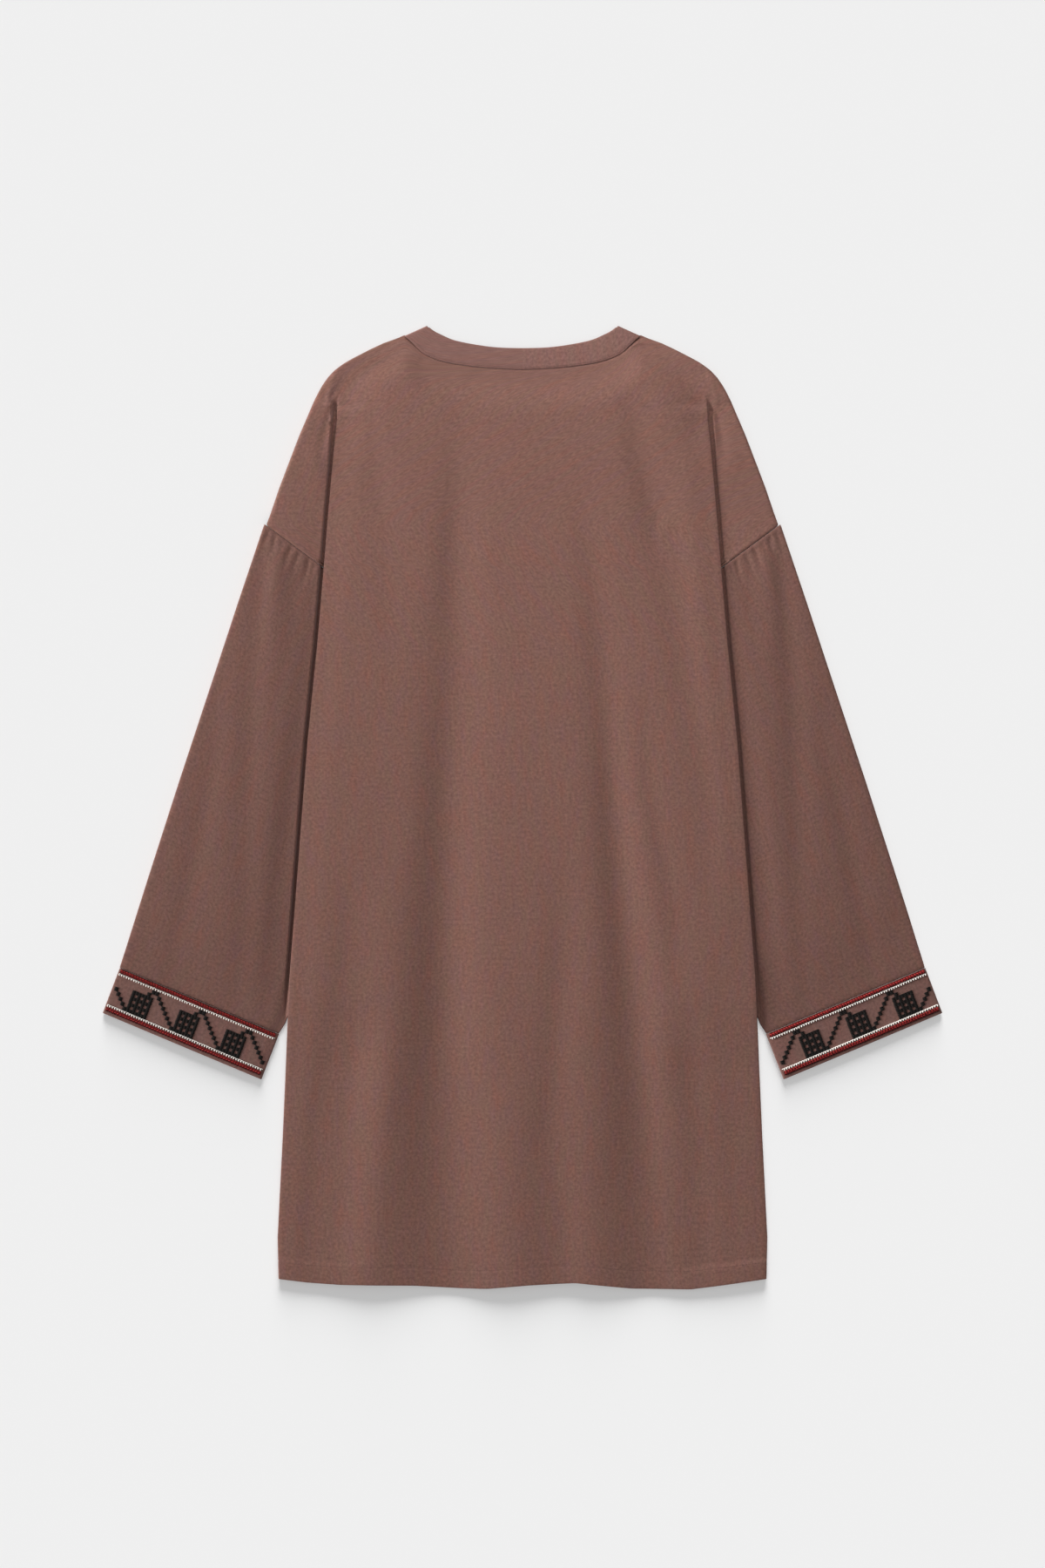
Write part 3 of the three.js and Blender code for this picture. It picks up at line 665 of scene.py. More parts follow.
def with_rims(start: float, end: float, step: float) -> Array:
    """Places from start to end at about equal steps, and closer together at both rims.

    Args:
        start: the first place.
        end: the last.
        step: about how far apart they are.

    Returns:
        The places in order.
    """
    ways = np.linspace(start, end, int(round(abs(end - start) / step)) + 1)
    steps = np.sign(end - start) * np.array(RIM_STEPS)
    return np.concatenate([ways[:1], start + steps[::-1], ways[1:-1], end - steps, ways[-1:]])


GAP_STEPS = (-2.0, -1.0, 0.0, 0.7, 1.4, 2.1, 2.8, 3.5, 4.3, 5.2, 6.3, 8.0)  # of points, from the body's edge
GAP_FULL_ROW = 14.0  # a row shorter than this has smaller steps
GAP_BEFORE = 3.0  # least room before the body's edge, and after it
GAP_AFTER = 10.0
CELLS_TO_ONE_BEFORE = 6


def spread(start: Array, focus: Array, end: Array, cells: int) -> Array:
    """Distances across layers of cloth, closer together round the gap beside the body.

    Args:
        start: where each row starts.
        focus: where the body's edge crosses it.
        end: where it ends.
        cells: cells in a row.

    Returns:
        Rows x (cells + 1) distances.
    """
    start, focus, end = (np.asarray(value, float)[..., None] for value in (start, focus, end))
    near = np.array(GAP_STEPS)
    room = np.minimum((end - start) / GAP_FULL_ROW, 1.0)
    first_focus = start + GAP_BEFORE * room
    focus = np.clip(focus, first_focus, np.maximum(end - GAP_AFTER * room, first_focus))
    before = max(2, cells // CELLS_TO_ONE_BEFORE)
    after = cells - before - len(near) + 1
    first = mix(start, focus + near[0] * room, np.arange(before) / before)
    last = mix(focus + near[-1] * room, end, np.arange(1, after + 1) / after)
    return np.concatenate([first, focus + near * room, last], axis=-1)


def developed(at: Array, axis: int, closes: bool = False) -> Array:
    """How far along the cloth each point lies.

    Args:
        at: the grid's places.
        axis: 0 to measure along the columns, 1 along the rows.
        closes: whether the last point joins the first, which adds a place.

    Returns:
        Distances from the first point.
    """
    if closes:
        at = np.concatenate([at, at.take([0], axis)], axis)
    steps = np.linalg.norm(np.diff(at, axis=axis), axis=-1)
    return np.concatenate([np.zeros_like(steps.take([0], axis)), np.cumsum(steps, axis)], axis)


@dataclass
class Tube:
    """A tube of cloth pressed flat: an upper and a lower layer that turn into each other at both edges.

    Args:
        outer: the edge away from the body from the top down, rows x 2.
        inner: the edge beside the body.
        lower: level of the lower layer's middle at places x and y.
        rise: how far the upper layer lies above it, at places x, y and shares across.
        inset: how far inside the edges the turns start.
        half: half the cloth's thickness in each row.
        focus: how far from the inner edge the points lie closer together in each row.
        cells: cells across a layer.
        turn_cells: cells round a turn.
    """

    outer: Array
    inner: Array
    lower: Callable[[Array, Array], Array]
    rise: Callable[[Array, Array, Array], Array]
    inset: float
    half: Array
    focus: Array
    cells: int
    turn_cells: int = 8

    def grid(self) -> Grid:
        """The tube's points: upper layer outwards, round, lower layer back, and round.

        Returns:
            The grid, which closes on itself across.
        """
        span = self.outer - self.inner
        wide = np.linalg.norm(span, axis=1, keepdims=True)
        way = span / wide
        room = wide - 2 * self.inset
        share = spread(0 * room[:, 0], self.focus, room[:, 0], self.cells) / room
        flat = self.inner[:, None] + way[:, None] * (self.inset + share * room)[..., None]
        x, y = flat[..., 0], flat[..., 1]
        low = self.lower(x, y)
        high = low + self.rise(x, y, share)

        def turn(column: int, sense: int) -> Array:
            """The points between the layers beyond the last column of one edge.

            Args:
                column: the column that it starts from.
                sense: 1 away from the body, -1 towards it.

            Returns:
                The points from the upper layer down.
            """
            angle = np.pi * np.arange(1, self.turn_cells) / self.turn_cells
            radius = (high[:, column] - low[:, column])[:, None] / 2
            centre = (high[:, column] + low[:, column])[:, None] / 2
            reach = np.minimum(radius, self.inset - self.half.max())
            place = flat[:, column, None] + sense * way[:, None] * (reach * np.sin(angle))[..., None]
            return np.concatenate([place, (centre + radius * np.cos(angle))[..., None]], axis=-1)

        upper_layer = np.concatenate([flat, high[..., None]], axis=-1)
        lower_layer = np.concatenate([flat, low[..., None]], axis=-1)[:, ::-1]
        at = np.concatenate([upper_layer, turn(-1, 1), lower_layer, turn(0, -1)[:, ::-1]], axis=1)
        across = developed(at, 1, True)
        down = developed(at, 0)
        grain = np.stack([across, -np.concatenate([down, down[:, :1]], axis=1)], axis=-1)
        half = np.broadcast_to(self.half[:, None], at.shape[:2])
        return Grid(at, half, grain, None, False, True)


# Stitches


@dataclass
class Threads:
    """Stitches gathered into one mesh: short arched threads whose ends dip into the cloth."""

    rows: list[Array] = field(default_factory=list)
    sides: ClassVar[int] = 6
    caps: ClassVar[tuple[tuple[int, ...], ...]] = ((0, 1, 2, 3), (0, 3, 4, 5))
    rings: ClassVar[int] = 6
    arch_power: ClassVar[float] = 0.6
    thick_power: ClassVar[float] = 0.5
    tip: ClassVar[float] = 0.45  # share of the radius at its ends

    def add(self, starts: Array, ends: Array, radius: float, arch: float, shade: int = 0) -> None:
        """Add stitches.

        Args:
            starts: where each comes out of the cloth, n x 3.
            ends: where each goes back in.
            radius: the thread's radius.
            arch: how far its middle stands above its ends.
            shade: the number of its material.
        """
        same = np.tile((radius, arch, float(shade)), (len(starts), 1))
        self.rows.append(np.column_stack([starts, ends, same]))

    def piece(self, name: str) -> Piece:
        """Build all the stitches as one mesh.

        Args:
            name: the piece's name.

        Returns:
            The piece.
        """
        table = np.concatenate(self.rows)
        start, end = table[:, :3], table[:, 3:6]
        radius, arch, shade = table[:, 6:].T
        share = np.linspace(0, 1, self.rings)
        span = end - start
        length = np.linalg.norm(span, axis=1, keepdims=True)
        side = np.cross(span / length, (0.0, 0.0, 1.0))
        side = side / np.linalg.norm(side, axis=1, keepdims=True)
        above = np.cross(side, span / length)
        rise = arch[:, None] * hump(share, self.arch_power)
        middle = start[:, None] + span[:, None] * share[None, :, None] + above[:, None] * rise[..., None]
        thick = mix(self.tip, 1.0, hump(share, self.thick_power))
        angle = np.linspace(0, 2 * np.pi, self.sides, endpoint=False)
        ring = np.cos(angle)[:, None] * side[:, None, None] + np.sin(angle)[:, None] * above[:, None, None]
        points = middle[:, :, None] + ring * (radius[:, None] * thick)[..., None, None]
        k, s = np.meshgrid(np.arange(self.rings - 1), np.arange(self.sides), indexing="ij")
        near, far = k * self.sides, (k + 1) * self.sides
        turned = (s + 1) % self.sides
        round_it = np.stack([near + s, far + s, far + turned, near + turned], axis=-1).reshape(-1, 4)
        last = (self.rings - 1) * self.sides
        first_cap = np.array(self.caps)
        pattern = np.concatenate([round_it, first_cap, last + first_cap[:, ::-1]])
        quads = pattern[None] + (np.arange(len(table)) * self.rings * self.sides)[:, None, None]
        run = (pattern // self.sides) / (self.rings - 1) * length[:, :, None]
        turn = np.broadcast_to((pattern % self.sides) / self.sides, run.shape)
        grains = np.stack([turn, run], axis=-1).reshape(-1, 4, 2)
        shades = np.repeat(shade, len(pattern))
        return mesh_piece(name, points.reshape(-1, 3), quads.reshape(-1, 4), grains, shades)


@dataclass(frozen=True)
class Topstitch:
    """A row of running stitches.

    Args:
        pitch: distance from one stitch to the next.
        long: length of a stitch.
        radius: the thread's radius.
        arch: how far the middle of a stitch stands up.
    """

    pitch: float
    long: float
    radius: float
    arch: float

    def piece(self, name: str, line: Array) -> Piece:
        """Sew a row along a line.

        Args:
            name: the piece's name.
            line: the points that it follows, n x 3.

        Returns:
            The piece.
        """
        way = developed(line, 0)
        start = np.arange((self.pitch - self.long) / 2, way[-1] - self.long, self.pitch)

        def place(at: Array) -> Array:
            """Points of the line that far along it."""
            return np.stack([np.interp(at, way, line[:, k]) for k in range(3)], axis=1)

        threads = Threads()
        threads.add(place(start), place(start + self.long), self.radius, self.arch)
        return threads.piece(name)


HEM_STITCH = Topstitch(3.1, 2.3, 0.17, 0.14)
NECK_STITCH = Topstitch(3.0, 2.2, 0.17, 0.12)


# Finishes


THREAD_PITCH = 0.00055  # metres from one thread of a cloth to the next
DRIFT = 0.7  # how much of a noise's shift also goes along the cloth


class NodeWork:
    """Short ways to add nodes to a tree."""

    def __init__(self, tree: Tree) -> None:
        """Keep the tree that the nodes go into."""
        self.tree = tree

    def node(self, kind: str, **settings: object) -> bpy.types.Node:
        """Add a node and set its properties.

        Args:
            kind: its type, without ShaderNode.
            settings: properties by name.

        Returns:
            The node.
        """
        made = self.tree.nodes.new(f"ShaderNode{kind}")
        for name, value in settings.items():
            setattr(made, name, value)
        return made

    def put(self, source: object, target: Socket) -> None:
        """Plug a socket into another, or set the value there.

        Args:
            source: a socket or a value.
            target: the socket that gets it.
        """
        if isinstance(source, Socket):
            self.tree.links.new(source, target)
        else:
            target.default_value = source

    def fill(self, sockets: Sockets, sources: dict[str, object]) -> None:
        """Plug a source into each named socket, or set its value."""
        for name, source in sources.items():
            self.put(source, sockets[name])

    def math(self, operation: str, *values: object) -> Socket:
        """Work out a value from up to three sockets or numbers.

        Args:
            operation: the kind of sum.
            values: up to three sockets or numbers.

        Returns:
            The result.
        """
        made = self.node("Math", operation=operation)
        for socket, source in zip(made.inputs, values):
            self.put(source, socket)
        return made.outputs[0]

    def blend(self, share: object, first: object, second: object, mode: str = "MIX") -> Socket:
        """Mix two colours.

        Args:
            share: how much of the second, as a socket or a number.
            first: a colour or a socket.
            second: the same.
            mode: how they mix.

        Returns:
            The mixed colour.
        """
        made = self.node("Mix", data_type="RGBA", blend_type=mode)
        self.fill(made.inputs, {"Factor": share, "A": first, "B": second})
        return made.outputs["Result"]

    def noise(
        self, place: Socket, stretch: Triple, shift: float = 0.0, scale: object = 1.0, detail: float = 2.0,
        rough: float = 0.6,
    ) -> Socket:
        """Smooth noise between 0 and 1.

        Args:
            place: where it is read, in metres.
            stretch: its fineness along each of the three ways.
            shift: how far it is moved, so that no two noises are alike.
            scale: a fineness for all three ways, as a socket or a number.
            detail: how many finer layers it has.
            rough: how strong they are.

        Returns:
            Its value.
        """
        moved = self.node("Mapping")
        self.fill(moved.inputs, {"Vector": place, "Scale": stretch, "Location": (shift, shift * DRIFT, 0.0)})
        made = self.node("TexNoise")
        sources = {"Vector": moved.outputs["Vector"], "Scale": scale, "Detail": detail, "Roughness": rough}
        self.fill(made.inputs, sources)
        return made.outputs["Fac"]

    def level(self, value: object, span: Pair, to: Pair = (0.0, 1.0)) -> Socket:
        """Map a range of values onto another, and hold them to it.

        Args:
            value: a socket or a number.
            span: the values that become the ends.
            to: the ends of the result.

        Returns:
            The result.
        """
        made = self.node("MapRange")
        for socket, source in zip(made.inputs, (value, *span, *to)):
            self.put(source, socket)
        return made.outputs["Result"]

    def effect(self, group: Tree, **given: object) -> Sockets:
        """Add a shared effect with its inputs by name.

        Args:
            group: the effect.
            given: sockets and numbers for its inputs.

        Returns:
            Its outputs.
        """
        made = self.node("Group", node_tree=group)
        self.fill(made.inputs, given)
        return made.outputs

    def relief(self, height: Socket, strength: float, depth: float) -> Socket:
        """Fine relief.

        Args:
            height: its height.
            strength: how strongly it shows.
            depth: its depth in metres.

        Returns:
            The normals.
        """
        made = self.node("Bump")
        self.fill(made.inputs, {"Strength": strength, "Distance": depth, "Height": height})
        return made.outputs["Normal"]


def new_group(
    name: str, place: str, values: dict[str, float], results: tuple[str, ...]
) -> tuple[Tree, NodeWork, Sockets, Sockets]:
    """Start a shader node group.

    Args:
        name: the group's name.
        place: the name of the input that says where.
        values: its other inputs, and their values where nothing is plugged in.
        results: its outputs.

    Returns:
        The group, short ways to fill it, and the sockets of what it is given and what it gives.
    """
    tree = bpy.data.node_groups.new(name, "ShaderNodeTree")
    tree.interface.new_socket(name=place, in_out="INPUT", socket_type="NodeSocketVector")
    for key, value in values.items():
        socket = tree.interface.new_socket(name=key, in_out="INPUT", socket_type="NodeSocketFloat")
        socket.default_value = value
    for key in results:
        tree.interface.new_socket(name=key, in_out="OUTPUT", socket_type="NodeSocketFloat")
    given = tree.nodes.new("NodeGroupInput").outputs
    result = tree.nodes.new("NodeGroupOutput").inputs
    return tree, NodeWork(tree), given, result


def weave_group() -> Tree:
    """Plain weave of uneven threads, over and under each other. Grain is in metres.

    Returns:
        The group.
    """
    tree, work, given, result = new_group(
        "plain weave", "Grain", {"Pitch": THREAD_PITCH, "Slub": 0.5}, ("Height", "Slubs", "Gaps")
    )
    parts = work.node("SeparateXYZ")
    work.put(given["Grain"], parts.inputs[0])
    turn = work.math("DIVIDE", np.pi, given["Pitch"])
    across = work.math("SINE", work.math("MULTIPLY", parts.outputs["X"], turn))
    along = work.math("SINE", work.math("MULTIPLY", parts.outputs["Y"], turn))
    checks = work.math("MULTIPLY", across, along)
    # Where the gaps between threads are; the cloth's colour is painted darker there as shade.
    gaps = work.math("MULTIPLY", work.math("ABSOLUTE", across), work.math("ABSOLUTE", along))
    warp = work.noise(given["Grain"], stretch=(900, 34, 1))
    weft = work.noise(given["Grain"], stretch=(30, 800, 1), shift=7.3)
    thick = (0.3, 0.75)  # from a thin thread to a slub
    slubs = work.math("ADD", work.level(warp, thick), work.level(weft, thick))
    slubs = work.math("MULTIPLY", slubs, 0.5)
    raised = work.math("MULTIPLY", slubs, given["Slub"])
    height = work.math("MULTIPLY_ADD", checks, 0.25, raised)
    work.fill(result, {"Height": height, "Slubs": slubs, "Gaps": gaps})
    return tree


def mottle_group() -> Tree:
    """Uneven dye of a cloth: soft streaks along the warp, two ways, and small flecks. Grain is in metres.

    Returns:
        The group.
    """
    tree, work, given, result = new_group(
        "uneven dye", "Grain", {"Fine": 360.0}, ("Clouds", "Streaks", "Flecks")
    )
    clouds = work.noise(given["Grain"], stretch=(95, 34, 1), detail=3.0)
    streaks = work.noise(given["Grain"], stretch=(120, 26, 1), shift=5.7, detail=4.0, rough=0.62)
    flecks = work.noise(given["Grain"], stretch=(1, 1, 1), shift=3.1, scale=given["Fine"])
    work.fill(result, {
        "Clouds": work.level(clouds, (0.36, 0.64)),
        "Streaks": work.level(streaks, (0.34, 0.66)),
        "Flecks": work.level(flecks, (0.3, 0.7)),
    })
    return tree


def twist_group() -> Tree:
    """Plies of a twisted thread, as slanting ridges along it. Thread is turns round and metres along.

    Returns:
        The group.
    """
    tree, work, given, result = new_group(
        "twisted thread", "Thread", {"Turns": 1500.0}, ("Height", "Hollows")
    )
    parts = work.node("SeparateXYZ")
    work.put(given["Thread"], parts.inputs[0])
    round_thread = work.math("DIVIDE", parts.outputs["X"], MM)
    slant = work.math("MULTIPLY_ADD", parts.outputs["Y"], given["Turns"], round_thread)
    wave = work.math("SINE", work.math("MULTIPLY", slant, 2 * np.pi))
    # Where the grooves between the plies are; a thread's colour is painted darker there as shade.
    hollows = work.level(wave, (-1.0, -0.2), (1.0, 0.0))
    work.fill(result, {"Height": work.level(wave, (-1.0, 1.0)), "Hollows": hollows})
    return tree


def new_material(name: str) -> tuple[Material, NodeWork, Sockets]:
    """Start a material.

    Args:
        name: its name.

    Returns:
        The material, short ways to fill it, and the sockets of its shader.
    """
    made = bpy.data.materials.new(name)
    made.use_nodes = True
    return made, NodeWork(made.node_tree), made.node_tree.nodes["Principled BSDF"].inputs


@dataclass(frozen=True)
class ClothFinish:
    """A matt woven cotton.

    Args:
        name: the material's name.
        colour: its mean colour, linear.
        warm: its colour where the dye took more red.
        cool: its colour where it took less.
        pitch: distance of its threads in metres.
        relief: depth of the weave's bump in metres.
    """

    name: str
    colour: Triple
    warm: Triple
    cool: Triple
    pitch: float = THREAD_PITCH
    relief: float = 0.00016
    evenness: Pair = (0.1, 0.9)  # share of the mean colour, from streak to streak
    slub_shades: Pair = (0.93, 1.07)
    fleck_shades: Pair = (0.79, 1.21)
    # how dark the gaps between threads are painted, as painted shade
    gap_painted_shades: Pair = (0.94, 1.02)
    rough: Pair = (0.8, 0.93)
    specular: float = 0.25
    sheen: float = 0.12
    sheen_rough: float = 0.5
    strength: float = 0.6

    def material(self, groups: dict[str, Tree]) -> Material:
        """Make the material.

        Args:
            groups: the shared effects by name.

        Returns:
            The material.
        """
        made, work, shader = new_material(self.name)
        grain = work.node("UVMap", uv_map="grain").outputs["UV"]
        weave = work.effect(groups["weave"], Grain=grain, Pitch=self.pitch)
        dye = work.effect(groups["mottle"], Grain=grain)
        hue = work.blend(dye["Clouds"], (*self.cool, 1), (*self.warm, 1))
        hue = work.blend(work.level(dye["Streaks"], (0, 1), self.evenness), hue, (*self.colour, 1))
        threads = work.level(weave["Slubs"], (0.1, 0.9), self.slub_shades)
        flecks = work.level(dye["Flecks"], (0, 1), self.fleck_shades)
        # Darker in the gaps between threads: painted shade.
        sunk = work.level(weave["Gaps"], (0.0, 0.6), self.gap_painted_shades)
        shade = work.math("MULTIPLY", work.math("MULTIPLY", threads, flecks), sunk)
        work.fill(shader, {
            "Base Color": work.blend(1.0, hue, shade, "MULTIPLY"),
            "Roughness": work.level(weave["Slubs"], (0, 1), self.rough),
            "Specular IOR Level": self.specular,
            "Sheen Weight": self.sheen,
            "Sheen Roughness": self.sheen_rough,
            "Normal": work.relief(weave["Height"], self.strength, self.relief),
        })
        return made


@dataclass(frozen=True)
class ThreadFinish:
    """A twisted sewing or embroidery thread.

    Args:
        name: the material's name.
        colour: its colour on the plies, linear.
        hollow_painted_shade: its colour between them, darker as painted shade in the grooves between the
            plies.
        turns: plies to a metre of thread.
        rough: its roughness.
    """

    name: str
    colour: Triple
    # a darker colour in the grooves between the plies: painted shade
    hollow_painted_shade: Triple
    turns: float = 1500.0
    rough: float = 0.6
    relief: float = 0.0001
    fleck_shades: Pair = (0.82, 1.15)
    fleck_rough: Pair = (-0.08, 0.1)
    fleck_fineness: float = 420.0
    specular: float = 0.15
    strength: float = 0.7

    def material(self, groups: dict[str, Tree]) -> Material:
        """Make the material.

        Args:
            groups: the shared effects by name.

        Returns:
            The material.
        """
        made, work, shader = new_material(self.name)
        grain = work.node("UVMap", uv_map="grain").outputs["UV"]
        twist = work.effect(groups["twist"], Thread=grain, Turns=self.turns)
        place = work.node("TexCoord").outputs["Object"]
        flecks = work.effect(groups["mottle"], Grain=place, Fine=self.fleck_fineness)["Flecks"]
        # The plies' colour, painted darker in the grooves between them as shade.
        plies = work.blend(twist["Hollows"], (*self.colour, 1), (*self.hollow_painted_shade, 1))
        worn = work.level(flecks, (0, 1), self.fleck_shades)
        rough = tuple(self.rough + more for more in self.fleck_rough)
        work.fill(shader, {
            "Base Color": work.blend(1.0, plies, worn, "MULTIPLY"),
            "Roughness": work.level(flecks, (0, 1), rough),
            "Specular IOR Level": self.specular,
            "Normal": work.relief(twist["Height"], self.strength, self.relief),
        })
        return made


BODY_CLOTH = ClothFinish("brown cotton", (0.197, 0.102, 0.075), (0.221, 0.091, 0.069), (0.198, 0.093, 0.085))
# The sleeves get the body's cotton made darker: painted shade for the shade the sleeves lie in.
SLEEVE_CLOTH_PAINTED_SHADE = ClothFinish(
    "brown cotton, sleeves", (0.168, 0.086, 0.064), (0.188, 0.077, 0.058), (0.171, 0.079, 0.072)
)
BAND_CLOTH = ClothFinish(
    "brown cotton, neckband", (0.208, 0.110, 0.088), (0.230, 0.099, 0.080), (0.210, 0.102, 0.094)
)
CUFF_CLOTH = ClothFinish(
    "brown cotton, cuffs", (0.172, 0.090, 0.072), (0.190, 0.082, 0.066), (0.174, 0.085, 0.078)
)
# Each thread's second colour is painted shade for the grooves between its plies.
SEWING_THREAD = ThreadFinish("brown sewing thread", (0.235, 0.125, 0.108), (0.10, 0.05, 0.043), 2600.0)
BLACK_THREAD = ThreadFinish("black thread", (0.013, 0.011, 0.010), (0.005, 0.004, 0.004), 1400.0, 0.7)
RED_THREAD = ThreadFinish("red thread", (0.44, 0.038, 0.036), (0.14, 0.010, 0.010), 1200.0)
DARK_RED_THREAD = ThreadFinish("dark red thread", (0.10, 0.009, 0.009), (0.03, 0.003, 0.003), 1200.0)
WHITE_THREAD = ThreadFinish("white thread", (0.98, 0.94, 0.88), (0.90, 0.84, 0.77), 1200.0)


class Finishes:
    """The shared effects and the materials, each made once."""

    def __init__(self) -> None:
        """Build the shared effects."""
        self.groups = {"weave": weave_group(), "mottle": mottle_group(), "twist": twist_group()}
        self.made: dict[str, Material] = {}

    def of(self, finish: ClothFinish | ThreadFinish) -> Material:
        """The material of a finish.

        Args:
            finish: the finish.

        Returns:
            The material, made at its first use.
        """
        if finish.name not in self.made:
            self.made[finish.name] = finish.material(self.groups)
        return self.made[finish.name]

    def dress(self, piece: Piece, slot: Slot, *looks: ClothFinish | ThreadFinish) -> None:
        """Give a piece its materials and let it ride with the body.

        Args:
            piece: the new piece.
            slot: the record's slot that it belongs to. Not used.
            looks: its finishes, by the number of its shades.
        """
        for look in looks:
            piece.data.materials.append(self.of(look))
        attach(piece, BODY)
        log.info("%s: %d faces", piece.name, len(piece.data.polygons))


# Front and back


@dataclass
class Panel:
    """One of the two body panels, with its pleats, shoulders and hem.

    Args:
        name: the piece's name.
        node: the solid that it stands for.
        sense: 1 where its side cloth is turned up, -1 where it is turned down.
    """

    name: str
    node: str
    sense: int
    cloth: float = 0.6
    hem_cloth: float = 0.95
    hem_thickens: float = 3.0
    # Rows: how far apart they are, and where that changes
    row_step: float = 4.6
    fine_step: float = 2.6
    hem_row_step: float = 1.5
    top: float = 466.0
    pleat_top: float = 408.0
    pleat_foot: float = 380.0
    armhole_top: float = 300.0
    armhole_foot: float = 160.0
    hem_room: float = 6.0
    # Columns of half a row, from the middle out
    middle_strip: float = 2.0  # half width of the two columns of cells in the middle
    middle_cells: int = 46
    turn_cells: int = 6
    under_cells: int = 7
    wing_cells: int = 30
    wing_gap: float = 0.2
    wing_blend: float = 9.0
    wing_rim: Triple = (0.45, 0.75, 0.92)  # shares of the last cell at which it has extra points
    wing_rim_reach: float = 1.0
    stitches_end: float = 6.0  # from the folded edge
    stitch_points: int = 240
    front_stitch_drop: float = 0.2
    flat: Pair = (0.72, 0.94)
    area: float = 0.536

    def neck_start(self, y: float) -> float:
        """Where a row starts beside the neck opening, or the edge of the middle strip."""
        return self.middle_strip

    def neck_drop(self, x: Array, y: float) -> Array:
        """How far a row is bent down to follow the neckband."""
        return np.zeros_like(x)

    def middle_level(self, x: Array, y: Array) -> Array:
        """Middle of the cloth between the pleats."""
        return LAY.room(y) / 2 + 0 * x

    def wing_level(self, x: Array, y: Array) -> Array:
        """Middle of the cloth over the shoulder."""
        return LAY.lower_level(x, y)

    def heights(self) -> Array:
        """The rows' heights from the top down, closer together where there is more to show.

        Returns:
            The heights.
        """
        hem = LAY.hem_top
        bands = (
            (self.top, self.fine_step),
            (self.pleat_top, self.fine_step / 2),
            (self.pleat_foot, self.row_step),
            (self.armhole_top, self.fine_step),
            (self.armhole_foot, self.row_step),
            (hem + self.hem_room, self.hem_row_step),
            (hem - self.hem_room, self.fine_step),
        )
        lows = [band_top for band_top, _ in bands[1:]] + [LAY.hem_y]
        parts = [
            np.linspace(band_top, low, int(round((band_top - low) / step)) + 1)[:-1]
            for (band_top, step), low in zip(bands, lows)
        ]
        rims = with_rims(self.top, LAY.hem_y, self.top - LAY.hem_y)
        return np.sort(np.concatenate([rims, np.concatenate(parts)[1:]]))[::-1]

    def wing_ways(self, start: float, y: float) -> Array:
        """Distances across a shoulder, closer together by the body's edge and at its outer edge.

        Args:
            start: where the shoulder's row starts.
            y: its height.

        Returns:
            The distances.
        """
        end = float(LAY.wing_edge(y))
        ways = spread(start, float(LAY.body_edge.at(y)), end, self.wing_cells - len(self.wing_rim))
        return np.concatenate([ways[:-1], mix(ways[-2], end, np.array(self.wing_rim)), ways[-1:]])

    def half_row(self, y: float, mirror: int) -> Array:
        """Half a row, from the middle strip out.

        Args:
            y: its height.
            mirror: 1 on the wearer's right, -1 on the left.

        Returns:
            Columns of x, y, z, half thickness and whether the point is there.
        """
        radius = float(LAY.fold_radius(y))
        turn = float(LAY.pleat_turn(y))
        depth = float(LAY.under.at(y))
        sewn = y <= LAY.underarm[1]  # the side seam is below the armhole
        start = self.neck_start(y)
        inset = radius * np.sin(min(turn, np.pi / 2)) + float(LAY.room(y)) / 2
        ways = np.linspace(start, float(LAY.body_edge.at(y)) - inset, self.middle_cells + 1)
        thick = np.ones_like(ways)
        if start > self.middle_strip:
            ways[1:3] = start + np.array(RIM_STEPS[::-1])
            thick = taper(ways - start)
        level = self.middle_level(mirror * ways, y - self.neck_drop(ways, y))
        parts = [np.stack([ways, level, thick], axis=1)]

        def arc(from_angle: float, to_angle: float) -> None:
            """Add a turn of the cloth from one heading to another.

            Args:
                from_angle: the heading before it, in radians.
                to_angle: the heading after it.
            """
            angle = np.linspace(from_angle, to_angle, self.turn_cells + 1)[1:]
            way = np.sign(to_angle - from_angle) * radius
            x, z, _ = parts[-1][-1]
            across = x + way * (np.sin(angle) - np.sin(from_angle))
            rise = z + self.sense * way * (np.cos(from_angle) - np.cos(angle))
            parts.append(np.stack([across, rise, 1 + 0 * angle], axis=1))

        arc(0.0, turn)
        way = depth * np.linspace(0, 1, self.under_cells + 1)[1:]
        if sewn:
            way[-3:-1] = depth - np.array(RIM_STEPS)
        x, z, _ = parts[-1][-1]
        under = np.stack([x + way * np.cos(turn), z + self.sense * way * np.sin(turn)], axis=1)
        parts.append(np.column_stack([under, taper(depth - way) if sewn else 1 + 0 * way]))
        absent = self.turn_cells + self.wing_cells + 1
        if sewn:
            parts.append(np.repeat(parts[-1][-1:], absent, axis=0))
        else:
            arc(turn, 0.0)
            ways = self.wing_ways(parts[-1][-1, 0] + self.wing_gap, y)
            level = self.wing_level(mirror * ways, y - self.neck_drop(ways, y))
            level = level + (parts[-1][-1, 1] - level[0]) * bell(ways - ways[0], self.wing_blend)
            thick = taper(ways[-1] - ways, self.wing_rim_reach)
            parts.append(np.stack([ways, level, thick], axis=1))
        x, z, share = np.concatenate(parts).T
        into_hem = smooth((LAY.hem_top + self.hem_thickens / 2 - y) / self.hem_thickens)
        half = mix(self.cloth, self.hem_cloth, into_hem) / 2
        there = np.arange(len(x)) < len(x) - absent * sewn
        return np.stack([mirror * x, y - self.neck_drop(x, y), z, half * share, there], axis=1)

